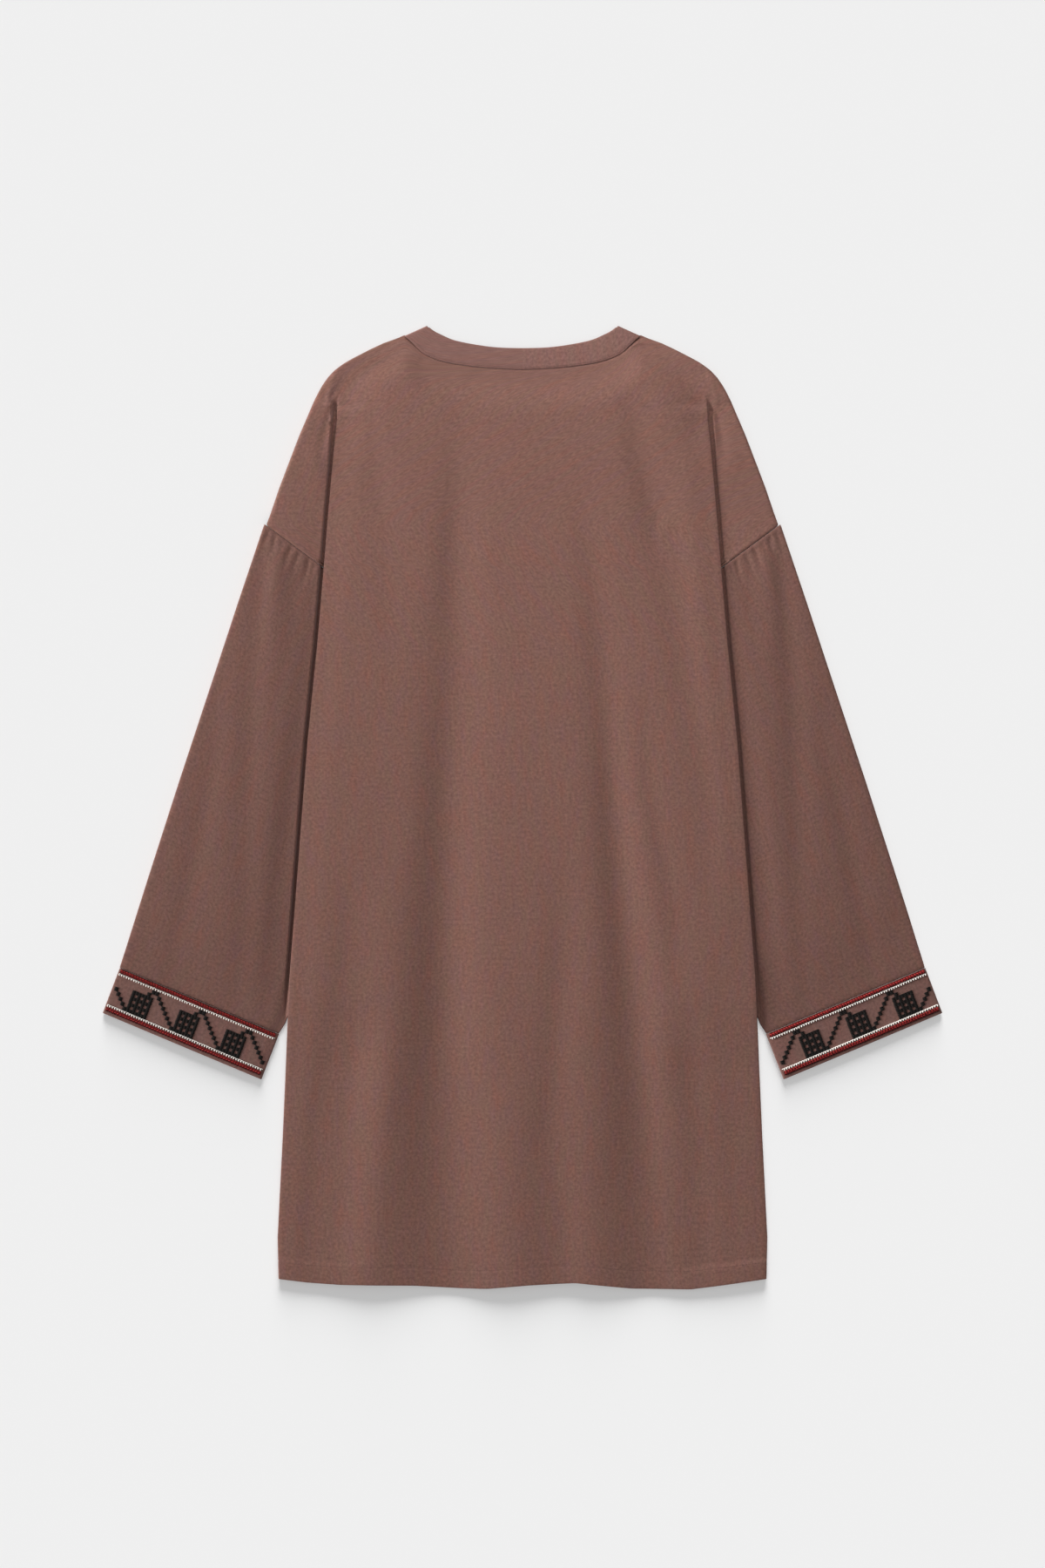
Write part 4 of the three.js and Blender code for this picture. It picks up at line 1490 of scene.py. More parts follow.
    def grid(self) -> Grid:
        """All rows of the panel.

        Returns:
            The grid.
        """
        heights = self.heights()
        table = []
        for y in heights:
            right = self.half_row(float(y), 1)
            left = self.half_row(float(y), -1)[::-1]
            closed = self.neck_start(float(y)) == self.middle_strip
            middle = (right[:1] + left[-1:]) / 2 * (1, 1, 1, 1, closed)
            table.append(np.concatenate([left, middle, right]))
        x, y, z, half, there = np.moveaxis(np.array(table), -1, 0)
        grain = np.stack([developed(np.stack([x, z], axis=-1), 1), y], axis=-1)
        at = np.stack([x, y - LAY.hem_wave(x, heights[:, None]), z], axis=-1)
        from_end = np.minimum(heights[0] - heights, heights - heights[-1])[:, None]
        return Grid(at, half * taper(from_end), grain, there > 0)

    def hem_line(self, x: Array, out: int) -> Array:
        """Points of the hem's seam on one of the cloth's faces.

        Args:
            x: places across.
            out: 1 for the upper face, -1 for the lower.

        Returns:
            The points.
        """
        y = LAY.hem_top + 0 * x
        level = self.middle_level(x, y) + out * (self.cloth + self.hem_cloth) / 4
        return np.stack([x, y - LAY.hem_wave(x, y), level], axis=1)

    def build(self, finishes: Finishes) -> None:
        """Build the panel and its hem's stitches, and dress them.

        Args:
            finishes: the materials.
        """
        piece = self.grid().wall(self.name)
        finishes.dress(piece, Slot.BROWN, BODY_CLOTH)
        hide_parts(self.node)
        edge = float(LAY.body_edge.at(LAY.hem_top)) - self.stitches_end
        out = -self.sense
        line = self.hem_line(np.linspace(-edge, edge, self.stitch_points), out)
        line = line + (0, 0, min(out, 0) * self.front_stitch_drop)
        stitches = HEM_STITCH.piece(f"{self.node}_hem_stitches", line)
        finishes.dress(stitches, Slot.BROWN, SEWING_THREAD)


@dataclass
class BackPanel(Panel):
    """The back, which shows."""

    ridge: float = 5.0  # how far the cloth stands up between its troughs
    stack_loft: float = 1.1
    bend: float = 0.2
    edge_start: float = 4.0  # folds end this far from the folded edge
    edge_slope: float = 30.0
    fold_shares: Pair = (1.1, 0.8)  # how deep folds are beside the turned-under cloth, and over it
    least_rise: float = 0.15
    crease_start: float = 12.0
    floor_room: float = 0.2  # between the troughs and the front
    floor_slope: float = 8.0
    uneven: Ripple = Ripple(0.16, 74.0)
    fine_uneven: Ripple = Ripple(0.07, 27.0)
    fine_shift: float = 31.0
    neck_groove: Groove = Groove(0.6, 1.3)
    hem_groove: Groove = Groove(0.2, 1.4)
    wing_start: float = 3.0
    wing_slope: float = 8.0
    wing_crease_start: float = 6.0
    wing_uneven: Ripple = Ripple(0.15, 61.0)
    shoulder_groove: Groove = Groove(0.2, 2.0)
    armhole_groove: Groove = Groove(0.45, 1.7)
    armhole_ridge: Groove = Groove(-0.3, 2.2, 4.5)
    seam_step: float = 2.0
    folds: tuple[Fold, ...] = (
        # inner left, and the long slope to its right
        Fold((
            (-62, 400, 18, 24, 0.5), (-64, 350, 16, 24, 1.0), (-64, 281, 15, 22, 1.6),
            (-68, 195, 21, 26, 2.3), (-69, 110, 25, 30, 2.6), (-73, 20, 25, 30, 3.0),
            (-76, -63, 27, 30, 3.4), (-77, -150, 29, 30, 4.2), (-79, -235, 33, 32, 4.6),
            (-77, -320, 44, 40, 5.0), (-75, -410, 54, 44, 4.8), (-72, -478, 54, 46, 4.6),
        )),
        Fold((
            (-60, 300, 30, 60, 0.5), (-62, 150, 36, 84, 1.0), (-66, -60, 40, 90, 1.2),
            (-70, -260, 40, 70, 0.8), (-66, -400, 36, 50, 0.4),
        )),
        # inner right
        Fold((
            (58, 290, 12, 16, 0.4), (70, 240, 14, 18, 0.9), (75, 195, 16, 18, 1.3), (84, 110, 18, 17, 1.9),
            (89, 20, 16, 19, 2.5), (96, -63, 19, 19, 2.9), (105, -150, 21, 26, 3.3),
            (114, -235, 27, 26, 3.7), (122, -320, 36, 32, 4.6), (129, -410, 46, 46, 4.8),
            (132, -478, 48, 50, 4.6),
        )),
        # outer right, from the shoulder
        Fold((
            (108, 402, 12, 20, 0.5), (116, 350, 14, 26, 1.6), (136, 281, 18, 21, 2.3),
            (153, 195, 17, 17, 1.6), (165, 110, 18, 18, 1.3), (184, 20, 20, 16, 1.1),
            (188, -60, 18, 14, 0.6),
        )),
        # small ones right of the inner right
        Fold((
            (122, 80, 8, 10, 0.3), (125, 20, 8, 10, 0.7), (138, -40, 9, 10, 0.7), (150, -100, 10, 12, 0.6),
            (151, -160, 10, 12, 0.4),
        )),
        # lower middle
        Fold((
            (40, -90, 18, 18, 0.6), (39, -150, 18, 20, 1.1), (34, -235, 18, 16, 1.3),
            (29, -320, 22, 27, 1.9), (38, -410, 36, 22, 2.4), (38, -478, 36, 24, 2.2),
        )),
        # outer left
        Fold((
            (-168, -90, 10, 18, 0.5), (-172, -150, 13, 26, 1.2), (-179, -235, 20, 28, 1.8),
            (-196, -320, 24, 24, 1.9), (-213, -410, 12, 28, 1.4), (-216, -478, 12, 28, 1.2),
        )),
        # below the left shoulder
        Fold((
            (-148, 372, 9, 9, 0.3), (-144, 350, 9, 10, 0.6), (-138, 270, 12, 11, 0.3),
            (-132, 195, 13, 15, 0.5), (-130, 120, 14, 14, 0.25),
        )),
        # low right
        Fold((
            (204, -150, 14, 14, 0.4), (210, -235, 16, 14, 0.8), (216, -320, 18, 14, 1.0),
            (218, -478, 20, 14, 0.8),
        )),
    )
    creases: tuple[Crease, ...] = (
        Crease((-167, 443), (-120, 448), 5.0, 0.7, 2),
        Crease((-150, 451), (-128, 436), 4.0, 0.5, -2),
        Crease((-172, 430), (-118, 428), 6.0, 0.4, 3),
        Crease((168, 443), (122, 447), 5.0, 0.6, -2),
        Crease((172, 432), (126, 430), 6.0, 0.4, -2),
        Crease((-178, 396), (-150, 330), 7.0, 0.7, -3),
        Crease((-183, 400), (-168, 352), 4.0, 0.5, -2),
        Crease((180, 397), (160, 345), 6.0, 0.6, 3),
        Crease((184, 402), (172, 360), 4.0, 0.5, 2),
    )
    wing_creases: tuple[Crease, ...] = (
        Crease((-186, 408), (-205, 330), 6.0, 0.8, 2),
        Crease((187, 410), (206, 336), 6.0, 0.8, -2),
        Crease((-190, 412), (-203, 362), 2.8, -0.8, 2),
        Crease((190, 411), (203, 362), 2.8, -0.6, -2),
        Crease((-190, 388), (-214, 296), 5.0, 0.5, 2),
        Crease((191, 386), (215, 300), 5.0, 0.5, -2),
        Crease((-203, 352), (-204, 288), 9.0, -0.7, 0),
        Crease((203, 352), (206, 286), 9.0, -0.7, 0),
        Crease((-186, 428), (-197, 398), 7.0, -0.9, 3),
        Crease((187, 427), (197, 399), 7.0, -0.8, -3),
    )
    neck_curve: Line = Line(tuple(map(tuple, curve_through(NECK_BACK_OUTER, NECK_STEPS))))
    neck_seam: float = 0.05  # gap to the neckband, too narrow to see the floor through
    drop_top: float = 466.0
    drop_foot: float = 400.0
    drop_side: float = 120.0  # the neckband ends before this, and the rows are straight beyond it
    drop_fade: float = 4.0

    def neck_drop(self, x: Array, y: float) -> Array:
        """How far a row is bent down to follow the neckband.

        Args:
            x: places across.
            y: the row's height.

        Returns:
            The distances.
        """
        side = np.abs(x)
        share = np.clip((y - self.drop_foot) / (self.drop_top - self.drop_foot), 0, 1)
        drop = self.drop_top - (self.neck_curve.at(side) - self.neck_seam)
        return np.maximum(drop, 0) * share * smooth((self.drop_side - side) / self.drop_fade)

    def middle_level(self, x: Array, y: Array) -> Array:
        """Middle of the back: high over what is turned under, lower and in long folds between.

        Args:
            x: places across.
            y: places along.

        Returns:
            The levels.
        """
        side = np.abs(x)
        to_edge = LAY.body_edge.at(y) - side
        below_neck = self.neck_curve.at(side) - y
        rise = smooth(LAY.inside_shoulder(x, y) / LAY.shoulder_slope) * smooth(below_neck / LAY.neck_slope)
        from_stack = side - (LAY.body_edge.at(y) - LAY.under.at(y) - LAY.stack_room)
        on_stack = smooth(1 + from_stack / LAY.stack_slope)
        top = LAY.edge_level(x, y)
        lofted = top + self.stack_loft * rise * smooth(to_edge / self.edge_slope)
        level = mix(LAY.neck_level + self.ridge * rise, lofted, on_stack)
        folded = sum(fold.depth(x, y) for fold in self.folds)
        folded = folded * mix(*self.fold_shares, on_stack) * np.clip(rise, self.least_rise, 1)
        creased = sum(crease.depth(x, y) for crease in self.creases)
        creased = creased + self.uneven.height(x, y) + self.fine_uneven.height(y + self.fine_shift, x)
        creased = creased * smooth(below_neck / self.crease_start)
        sewn = self.neck_groove.depth(below_neck) + self.hem_groove.depth(LAY.hem_top - y)
        level = level - (folded + creased) * smooth((to_edge - self.edge_start) / self.edge_slope) - sewn
        over_stack = smooth(1 + from_stack / self.floor_slope)
        floor = mix(2 * LAY.layer + self.floor_room, top - LAY.pitch + self.cloth, over_stack)
        return floor + self.bend * np.logaddexp(0, (level - floor) / self.bend)

    def wing_level(self, x: Array, y: Array) -> Array:
        """Middle of the back over the shoulder.

        Args:
            x: places across.
            y: places along.

        Returns:
            The levels.
        """
        level = LAY.lower_level(x, y) + LAY.upper_rise(x, y)
        outside = smooth((np.abs(x) - LAY.body_edge.at(y) - self.wing_start) / self.wing_slope)
        inside = LAY.wing_edge(y) - np.abs(x)
        creased = sum(crease.depth(x, y) for crease in self.wing_creases) + self.wing_uneven.height(x, y)
        creased = creased * smooth(inside / self.wing_crease_start)
        at_armhole = smooth((LAY.shoulder_tip[1] + self.seam_step - y) / self.seam_step)
        armhole = self.armhole_groove.depth(inside) + self.armhole_ridge.depth(inside)
        return level - (creased + mix(self.shoulder_groove.depth(inside), armhole, at_armhole)) * outside


@dataclass
class FrontPanel(Panel):
    """The front, which lies under the back: plain, with the same pleats and a scooped neck."""

    area: float = 0.51
    row_step: float = 6.5
    fine_step: float = 3.6
    middle_cells: int = 38
    wing_cells: int = 24
    neck_curve: Line = Line(tuple((y, x) for x, y in curve_through(NECK_FRONT_OUTER, NECK_STEPS)))
    neck_foot: float = 304.0
    # Rows round the foot of the neck opening, from there up, in place of the usual ones
    foot_rows: tuple[float, ...] = (-0.3, 0.4, 1.4, 2.6, 4, 6, 8.5, 11.5, 15, 19, 23)
    foot_band: Pair = (-1.0, 25.0)
    ridge_room: float = 20.0
    shoulder_ridge: Groove = Groove(-0.2, 2.5)
    shoulder_foot: float = 270.0
    shoulder_fade: float = 10.0
    folds: tuple[Fold, ...] = (
        Fold((
            (-128, 250, 22, 26, -0.3), (-122, 60, 24, 30, -0.9), (-118, -180, 26, 30, -1.1),
            (-126, -440, 26, 30, -0.8),
        )),
        Fold((
            (22, 240, 24, 24, -0.4), (16, -20, 28, 26, -1.0), (-14, -260, 28, 28, -1.1),
            (-20, -460, 28, 30, -0.7),
        )),
        Fold(((124, 120, 22, 20, -0.4), (146, -120, 24, 22, -0.9), (168, -380, 24, 22, -0.7))),
    )

    def neck_start(self, y: float) -> float:
        """Where a row starts beside the neck opening, or the edge of the middle strip."""
        opening = max(self.middle_strip + 1, float(self.neck_curve.at(y)) + LAY.seam_gap)
        return self.middle_strip if y < self.neck_foot else opening

    def heights(self) -> Array:
        """The rows' heights, closer together round the foot of the neck opening.

        Returns:
            The heights.
        """
        usual = super().heights()
        low, high = self.neck_foot + np.array(self.foot_band)
        usual = usual[(usual > high) | (usual < low)]
        return np.sort(np.concatenate([usual, self.neck_foot + np.array(self.foot_rows)]))[::-1]

    def middle_level(self, x: Array, y: Array) -> Array:
        """Middle of the front: flat on the surface but for a few soft ridges.

        Args:
            x: places across.
            y: places along.

        Returns:
            The levels.
        """
        to_pleat = LAY.body_edge.at(y) - LAY.under.at(y) - self.ridge_room - np.abs(x)
        inner = smooth(to_pleat / self.ridge_room)
        return LAY.room(y) / 2 - sum(fold.depth(x, y) for fold in self.folds) * inner

    def wing_level(self, x: Array, y: Array) -> Array:
        """Middle of the front over the shoulder, rising to the back at the edge they share."""
        ridge = self.shoulder_ridge.depth(LAY.inside_shoulder(x, y))
        return LAY.lower_level(x, y) - ridge * smooth((y - self.shoulder_foot) / self.shoulder_fade)


# Sleeves


@dataclass
class Sleeve:
    """A sleeve: a tube of cloth that lies flat beside the body.

    The edges are rows of share of the length, outer x and y, and inner x and y.
    """

    side: Side
    cloth: float = 0.6
    row_step: float = 3.0
    cells: int = 58
    inset: float = 1.3
    loft: float = 0.9
    loft_power: float = 0.8
    loft_end: float = 60.0  # distance from both ends over which it swells
    cuff_share: float = 0.45  # what is left of the swell beside the body at the cuff
    cuff_reach: float = 90.0
    rim: float = 12.0  # how steeply the edge beside the body rises
    lowest: float = -0.55
    fold_share: float = 0.8
    uneven: Ripple = Ripple(0.2, 58.0)
    uneven_shift: float = 40.0  # makes the two sleeves differ
    uneven_end: float = 10.0
    fine_uneven: Ripple = Ripple(0.06, 21.0)
    seam_groove: Groove = Groove(0.3, 1.5)
    probes: int = 200
    head_step: float = 2.4
    edges: tuple[tuple[float, ...], ...] = (
        (0.03, 257.4, 271.4, 105.5, 154), (0.16, 280.4, 203, 128, 108), (0.36, 309.4, 115, 160, 31),
        (0.58, 339.7, 23.2, 190, -62), (0.8, 370, -71, 216.5, -155),
        (0.93, 387.8, -127.1, 229.5, -203), (0.975, 394, -146.5, 234, -214),
    )
    puckers: tuple[Crease, ...] = (
        Crease((250, 271), (257, 250), 2.0, 0.9, 1),
        Crease((244, 267.5), (249, 245), 2.2, 1.0, -1),
        Crease((236, 262), (240, 250), 1.8, 0.5, 1),
        Crease((228, 256), (236, 230), 2.3, 1.1, 1.5),
        Crease((220, 250), (229, 226), 2.0, 0.9, 1),
        Crease((211, 244), (220, 214), 2.4, 1.1, -1.5),
        Crease((205, 239), (210, 220), 1.8, 0.7, 1),
        Crease((240, 250), (246, 130), 9.0, -0.9, 4),
        Crease((222, 236), (250, 60), 8.0, 0.6, -5),
    )
    folds: tuple[Fold, ...] = (
        Fold((
            (255, 240, 9, 10, 0.9), (263, 170, 11, 12, 1.3), (268, 100, 12, 14, 1.3),
            (271, -20, 12, 14, 1.0), (273, -120, 12, 12, 0.8), (280, -180, 10, 10, 0.5),
        )),
        Fold((
            (298, 60, 10, 12, 0.4), (318, -20, 11, 12, 0.8), (332, -90, 11, 12, 0.8),
            (346, -160, 10, 10, 0.4),
        )),
        Fold((
            (228, 20, 10, 10, 0.3), (240, -60, 12, 10, 0.7), (248, -130, 12, 10, 0.7),
            (254, -190, 10, 10, 0.4),
        )),
    )
    flat: Pair = (0.388, 0.46)
    area: float = 0.152

    def edge_rows(self) -> tuple[Array, Array, Array]:
        """The rows' places along the sleeve, and its outer and inner edge there.

        Returns:
            Distances along it, and points on its outer and its inner edge.
        """
        tip, arm = np.array(LAY.shoulder_tip), np.array(LAY.underarm)
        along = (tip - arm) / np.linalg.norm(tip - arm)
        off = np.array([along[1], -along[0]]) * LAY.seam_gap
        cuff_outer, cuff_inner = np.array(Cuff.top_outer), np.array(Cuff.top_inner)
        hem = (cuff_outer - cuff_inner) / np.linalg.norm(cuff_outer - cuff_inner)
        back = np.array([-hem[1], hem[0]]) * (LAY.seam_gap - Cuff.seam)
        head = (0.0, *(tip + along * self.head_step + off), *(arm + off))
        end = (1.0, *(cuff_outer + back), *(cuff_inner + back))
        table = np.array([head, *self.edges, end])
        length = float(developed((table[:, 1:3] + table[:, 3:5]) / 2, 0)[-1])
        ways = with_rims(0.0, length, self.row_step)
        places = np.stack([np.interp(ways / length, table[:, 0], table[:, k]) for k in range(1, 5)], axis=1)
        return ways, places[:, :2], places[:, 2:]

    def grid(self) -> Grid:
        """The right sleeve's points, with this side's creases.

        Returns:
            The grid.
        """
        ways, outer, inner = self.edge_rows()

        def rise(x: Array, y: Array, share: Array) -> Array:
            """How far the upper layer lies above the lower.

            Args:
                x: places across.
                y: places along.
                share: shares of the way across.

            Returns:
                The heights.
            """
            near_edge = smooth(share * self.rim)
            end = np.minimum(ways, ways[-1] - ways)[:, None]
            rounded = hump(share, self.loft_power)
            swell = LAY.side_loft(x, y, self.loft) * rounded * smooth(end / self.loft_end)
            to_cuff = mix(self.cuff_share, 1.0, smooth((ways[-1] - ways) / self.cuff_reach))[:, None]
            swell = (swell + (LAY.upper_rise(self.side.value * x, y) - LAY.pitch) * to_cuff) * near_edge
            folded = self.fold_share * sum(fold.depth(x, y) for fold in self.folds)
            creased = sum(crease.depth(x, y) for crease in self.puckers)
            uneven = self.uneven.height(x + self.side.value * self.uneven_shift, y)
            uneven = (uneven + self.fine_uneven.height(y, x)) * smooth(end / self.uneven_end)
            sewn = self.seam_groove.depth(end)
            height = swell - (folded + creased + uneven + sewn) * near_edge
            return LAY.pitch + np.maximum(height, self.lowest)

        half = self.cloth / 2 * taper(np.minimum(ways, ways[-1] - ways))
        span = outer - inner
        probe = np.linspace(0, 1, self.probes)[None, :, None]
        line = inner[:, None] + span[:, None] * probe
        hidden = (line[..., 0] < LAY.body_edge.at(line[..., 1])).mean(axis=1)
        focus = hidden * np.linalg.norm(span, axis=1) - self.inset
        return Tube(outer, inner, LAY.lower_level, rise, self.inset, half, focus, self.cells).grid()

    def build(self, finishes: Finishes) -> None:
        """Build the sleeve and dress it.

        Args:
            finishes: the materials.
        """
        piece = self.grid().on_side(self.side).wall(f"sleeve_{self.side.word}_cloth")
        # The darker cotton paints shade on the sleeve.
        finishes.dress(piece, Slot.BROWN, SLEEVE_CLOTH_PAINTED_SHADE)
        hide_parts(f"sleeve_{self.side.word}")


# Cuffs, with braid and a stitched border


@dataclass(frozen=True)
class Braid:
    """A row of braid along a cuff: long threads, and slanting ones over them.

    Args:
        name: its name.
        slot: the record's slot.
        pitch: distance from one stitch to the next.
        looks: its threads' finishes.
        rows: for each row of stitches, how far down the cuff each starts and ends, how far along the cuff it
            reaches, its radius, its height over the row under it, and the number of its finish.
    """

    name: str
    slot: Slot
    pitch: float
    looks: tuple[ThreadFinish, ...]
    rows: tuple[tuple[float, ...], ...]


RED_LOOKS = (RED_THREAD, DARK_RED_THREAD)
BRAIDS = (
    Braid("red_upper", Slot.RED, 2.85, RED_LOOKS, (
        (1.75, 1.75, 3.0, 0.42, 0.0, 1),
        (2.95, 2.95, 3.1, 0.8, 0.0, 0),
        (4.15, 4.15, 3.1, 0.78, 0.0, 0),
        (3.0, 4.9, 0.9, 0.45, 1.25, 1),
        # a thin dark red row where the red braid meets the white one: painted shadow in the gap between them
        (5.05, 5.05, 3.0, 0.35, 0.0, 1),
    )),
    Braid("white_upper", Slot.WHITE, 2.6, (WHITE_THREAD,), (
        (6.2, 6.2, 2.8, 0.45, 0.0, 0),
        (6.2, 8.1, 0.8, 0.58, 0.35, 0),
    )),
    Braid("white_lower", Slot.WHITE, 2.6, (WHITE_THREAD,), (
        (38.8, 38.8, 2.8, 0.45, 0.0, 0),
        (38.9, 40.7, 0.8, 0.58, 0.35, 0),
    )),
    Braid("red_lower", Slot.RED, 2.85, RED_LOOKS, (
        (42.0, 42.0, 3.1, 0.8, 0.0, 0),
        (41.4, 42.9, 0.9, 0.45, 1.25, 1),
        (43.3, 43.3, 3.1, 0.85, 0.0, 0),
        (44.3, 44.3, 3.1, 0.6, 0.0, 1),
        (43.6, 45.0, 0.9, 0.45, 0.9, 1),
        (45.0, 45.0, 3.0, 0.35, 0.0, 1),
    )),
)


@dataclass
class Cuff:
    """A cuff: a flattened ring with braid along both edges and a border of black stitches between.

    Distances u run along it from its outer end, v down from its upper edge.
    """

    side: Side
    top_outer: ClassVar[Pair] = (397.4, -157.3)
    top_inner: ClassVar[Pair] = (239.9, -222.8)
    seam: ClassVar[float] = 0.9  # from its corners down to where it is sewn to the sleeve
    bottom_outer: ClassVar[Pair] = (414.6, -202.6)
    bottom_inner: ClassVar[Pair] = (257.6, -268.4)
    cloth: float = 1.0
    lower: float = 0.7
    turn: float = 0.9
    swell: float = 0.9
    inset: float = 1.6
    row_step: float = 1.9
    cells: int = 60
    flat: Pair = (0.341, 0.0476)
    swell_power: float = 0.6
    uneven: Ripple = Ripple(0.07, 17.0)
    uneven_end: float = 14.0
    braid_end: float = 0.3  # past the turn at either end
    braid_jitter: float = 0.06  # as a share of the pitch
    braid_sink: float = 0.5  # height of a stitch's ends and of its arch, as shares of its radius
    braid_arch: float = 0.6
    cell: float = 3.57  # of the border's chart, along the cuff
    cell_height: float = 3.71
    border_top: float = 8.5
    border_end: float = 1.0
    block_start: float = 20.6
    block_top: int = 2  # the row of the chart where a block starts
    block_cells: int = 6
    fine_cells: int = 7  # cells of its lattice over the same length
    # Strands that fill a cell: radius, room across and half length as shares of it, the rest in millimetres
    strands: int = 3
    strand_radius: float = 0.2
    strand_room: float = 1.15
    strand_reach: float = 0.6
    strand_slants: Pair = (0.6, 0.2)  # shares of the jitter across, at both ends
    strand_jitter: float = 0.16
    strand_lift: float = 0.12
    strand_arch: float = 0.3

    # Stepped lines and hooks of the border as rows of chart columns, from its top row
    CHART: ClassVar[tuple[tuple[int, ...], ...]] = ((5, 6), (4, 7), (8,), (9,), (10,), (11,), (12,), (13,))
    REPEAT: ClassVar[int] = 14
    REPEATS: ClassVar[range] = range(-1, 4)
    SEED: ClassVar[int] = 20

    def __post_init__(self) -> None:
        """Start this cuff's own unevenness."""
        self.rng = np.random.default_rng(self.SEED + self.side.value)

    @property
    def long(self) -> float:
        """Length of the pressed cuff."""
        return float(np.hypot(*np.subtract(self.top_outer, self.top_inner)))

    @property
    def deep(self) -> float:
        """From its upper to its lower edge."""
        return float(np.hypot(*np.subtract(self.bottom_outer, self.top_outer)))

    def swelling(self, share: Array) -> Array:
        """How far the upper layer stands up at a share of the way across."""
        return self.swell * hump(share, self.swell_power)

    def place(self, u: Array, v: Array, lift: float) -> Array:
        """Points on the cuff's upper face.

        Args:
            u: distances from its outer end.
            v: distances from its upper edge.
            lift: height above the face.

        Returns:
            The points, on this cuff's side.
        """
        across, down = u / self.long, (v / self.deep)[..., None]
        top = mix(np.array(self.top_outer), np.array(self.top_inner), across[..., None])
        bottom = mix(np.array(self.bottom_outer), np.array(self.bottom_inner), across[..., None])
        flat = mix(top, bottom, down) * (self.side.value, 1)
        face = self.lower + 2 * self.turn + self.swelling(across) + self.cloth / 2
        return np.concatenate([flat, (face + lift + 0 * v)[..., None]], axis=-1)

    def cloth_piece(self, finishes: Finishes) -> Piece:
        """Build the ring of cloth.

        Args:
            finishes: the materials.

        Returns:
            The ring.
        """
        ways = with_rims(self.seam, self.deep, self.row_step)
        share = (ways / self.deep)[:, None]
        outer = mix(np.array(self.top_outer), np.array(self.bottom_outer), share)
        inner = mix(np.array(self.top_inner), np.array(self.bottom_inner), share)
        from_end = np.minimum(ways - self.seam, self.deep - ways)
        half = self.cloth / 2 * taper(from_end)

        def rise(x: Array, y: Array, across: Array) -> Array:
            """How far the upper layer lies above the lower."""
            inner_end, outer_end = smooth(across * self.uneven_end), smooth((1 - across) * self.uneven_end)
            return 2 * self.turn + self.swelling(across) + self.uneven.height(x, y) * inner_end * outer_end

        focus = np.full(len(ways), self.long / 2)
        tube = Tube(outer, inner, lambda x, y: self.lower + 0 * x, rise, self.inset, half, focus, self.cells)
        piece = tube.grid().on_side(self.side).wall(f"cuff_{self.side.word}_cloth")
        finishes.dress(piece, Slot.CUFF, CUFF_CLOTH)
        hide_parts(f"cuff_{self.side.word}")
        return piece

    def braid(self, kind: Braid, finishes: Finishes) -> Piece:
        """Stitch one row of braid.

        Args:
            kind: the braid.
            finishes: the materials.

        Returns:
            The piece.
        """
        threads = Threads()
        jitter = self.braid_jitter * kind.pitch
        for start_v, end_v, long, radius, lift, look in kind.rows:
            start = np.arange(self.inset + self.braid_end, self.long - self.inset - long, kind.pitch)
            shift = self.rng.uniform(-jitter, jitter, (3, len(start)))
            height = radius * self.braid_sink + lift
            starts = self.place(start + shift[0], start_v + shift[1], height)
            ends = self.place(start + long + shift[0], end_v + shift[2], height)
            threads.add(starts, ends, radius, radius * self.braid_arch, look)
        piece = threads.piece(f"trim_{kind.name}_{self.side.word}_stitches")
        finishes.dress(piece, kind.slot, *kind.looks)
        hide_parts(f"trim_{kind.name}_{self.side.word}")
        return piece

    def border_cells(self) -> Array:
        """Work out the middles and sizes of the border's stitched cells.

        Returns:
            Rows of u, v and size.
        """
        finer = self.block_cells / self.fine_cells
        lattice = [
            (row, column)
            for row in range(self.fine_cells)
            for column in range(self.fine_cells)
            if row % 2 == 0 or column % 2 == 0
        ]
        stepped = [(row, column) for row, columns in enumerate(self.CHART) for column in columns]
        cells = []
        for repeat in self.REPEATS:
            start = self.block_start + repeat * self.REPEAT * self.cell
            for marks, top, share in ((stepped, 0, 1.0), (lattice, self.block_top, finer)):
                wide, high = self.cell * share, self.cell_height * share
                for row, column in marks:
                    v = self.border_top + top * self.cell_height + (row + 0.5) * high
                    cells.append((start + (column + 0.5) * wide, v, wide))
        table = np.array(cells)
        reach = self.inset + self.cell / 2
        return table[(table[:, 0] > reach) & (table[:, 0] < self.long - reach + self.border_end)]

    def border(self, finishes: Finishes) -> Piece:
        """Stitch the black border: each cell a bundle of short threads along the cuff.

        Args:
            finishes: the materials.

        Returns:
            The border.
        """
        threads = Threads()
        table = self.border_cells()
        for size in np.unique(table[:, 2]):
            u, v, _ = table[table[:, 2] == size].T
            for strand in range(self.strands):
                line = v + ((strand + 0.5) / self.strands - 0.5) * size * self.strand_room
                shift = self.rng.uniform(-self.strand_jitter, self.strand_jitter, (3, len(u)))
                reach = size * self.strand_reach
                slants = [line + shift[1] * slant for slant in self.strand_slants]
                starts = self.place(u - reach + shift[0], slants[0], self.strand_lift)
                ends = self.place(u + reach + shift[2], slants[1], self.strand_lift)
                threads.add(starts, ends, self.strand_radius * size, self.strand_arch)
        piece = threads.piece(f"border_{self.side.word}_stitches")
        finishes.dress(piece, Slot.CUFF, BLACK_THREAD)
        return piece

    def build(self, finishes: Finishes) -> None:
        """Build the cuff with its braid and border.

        Args:
            finishes: the materials.
        """
        piece = self.cloth_piece(finishes)
        sewn_on = [*(self.braid(kind, finishes) for kind in BRAIDS), self.border(finishes)]


# Neckband


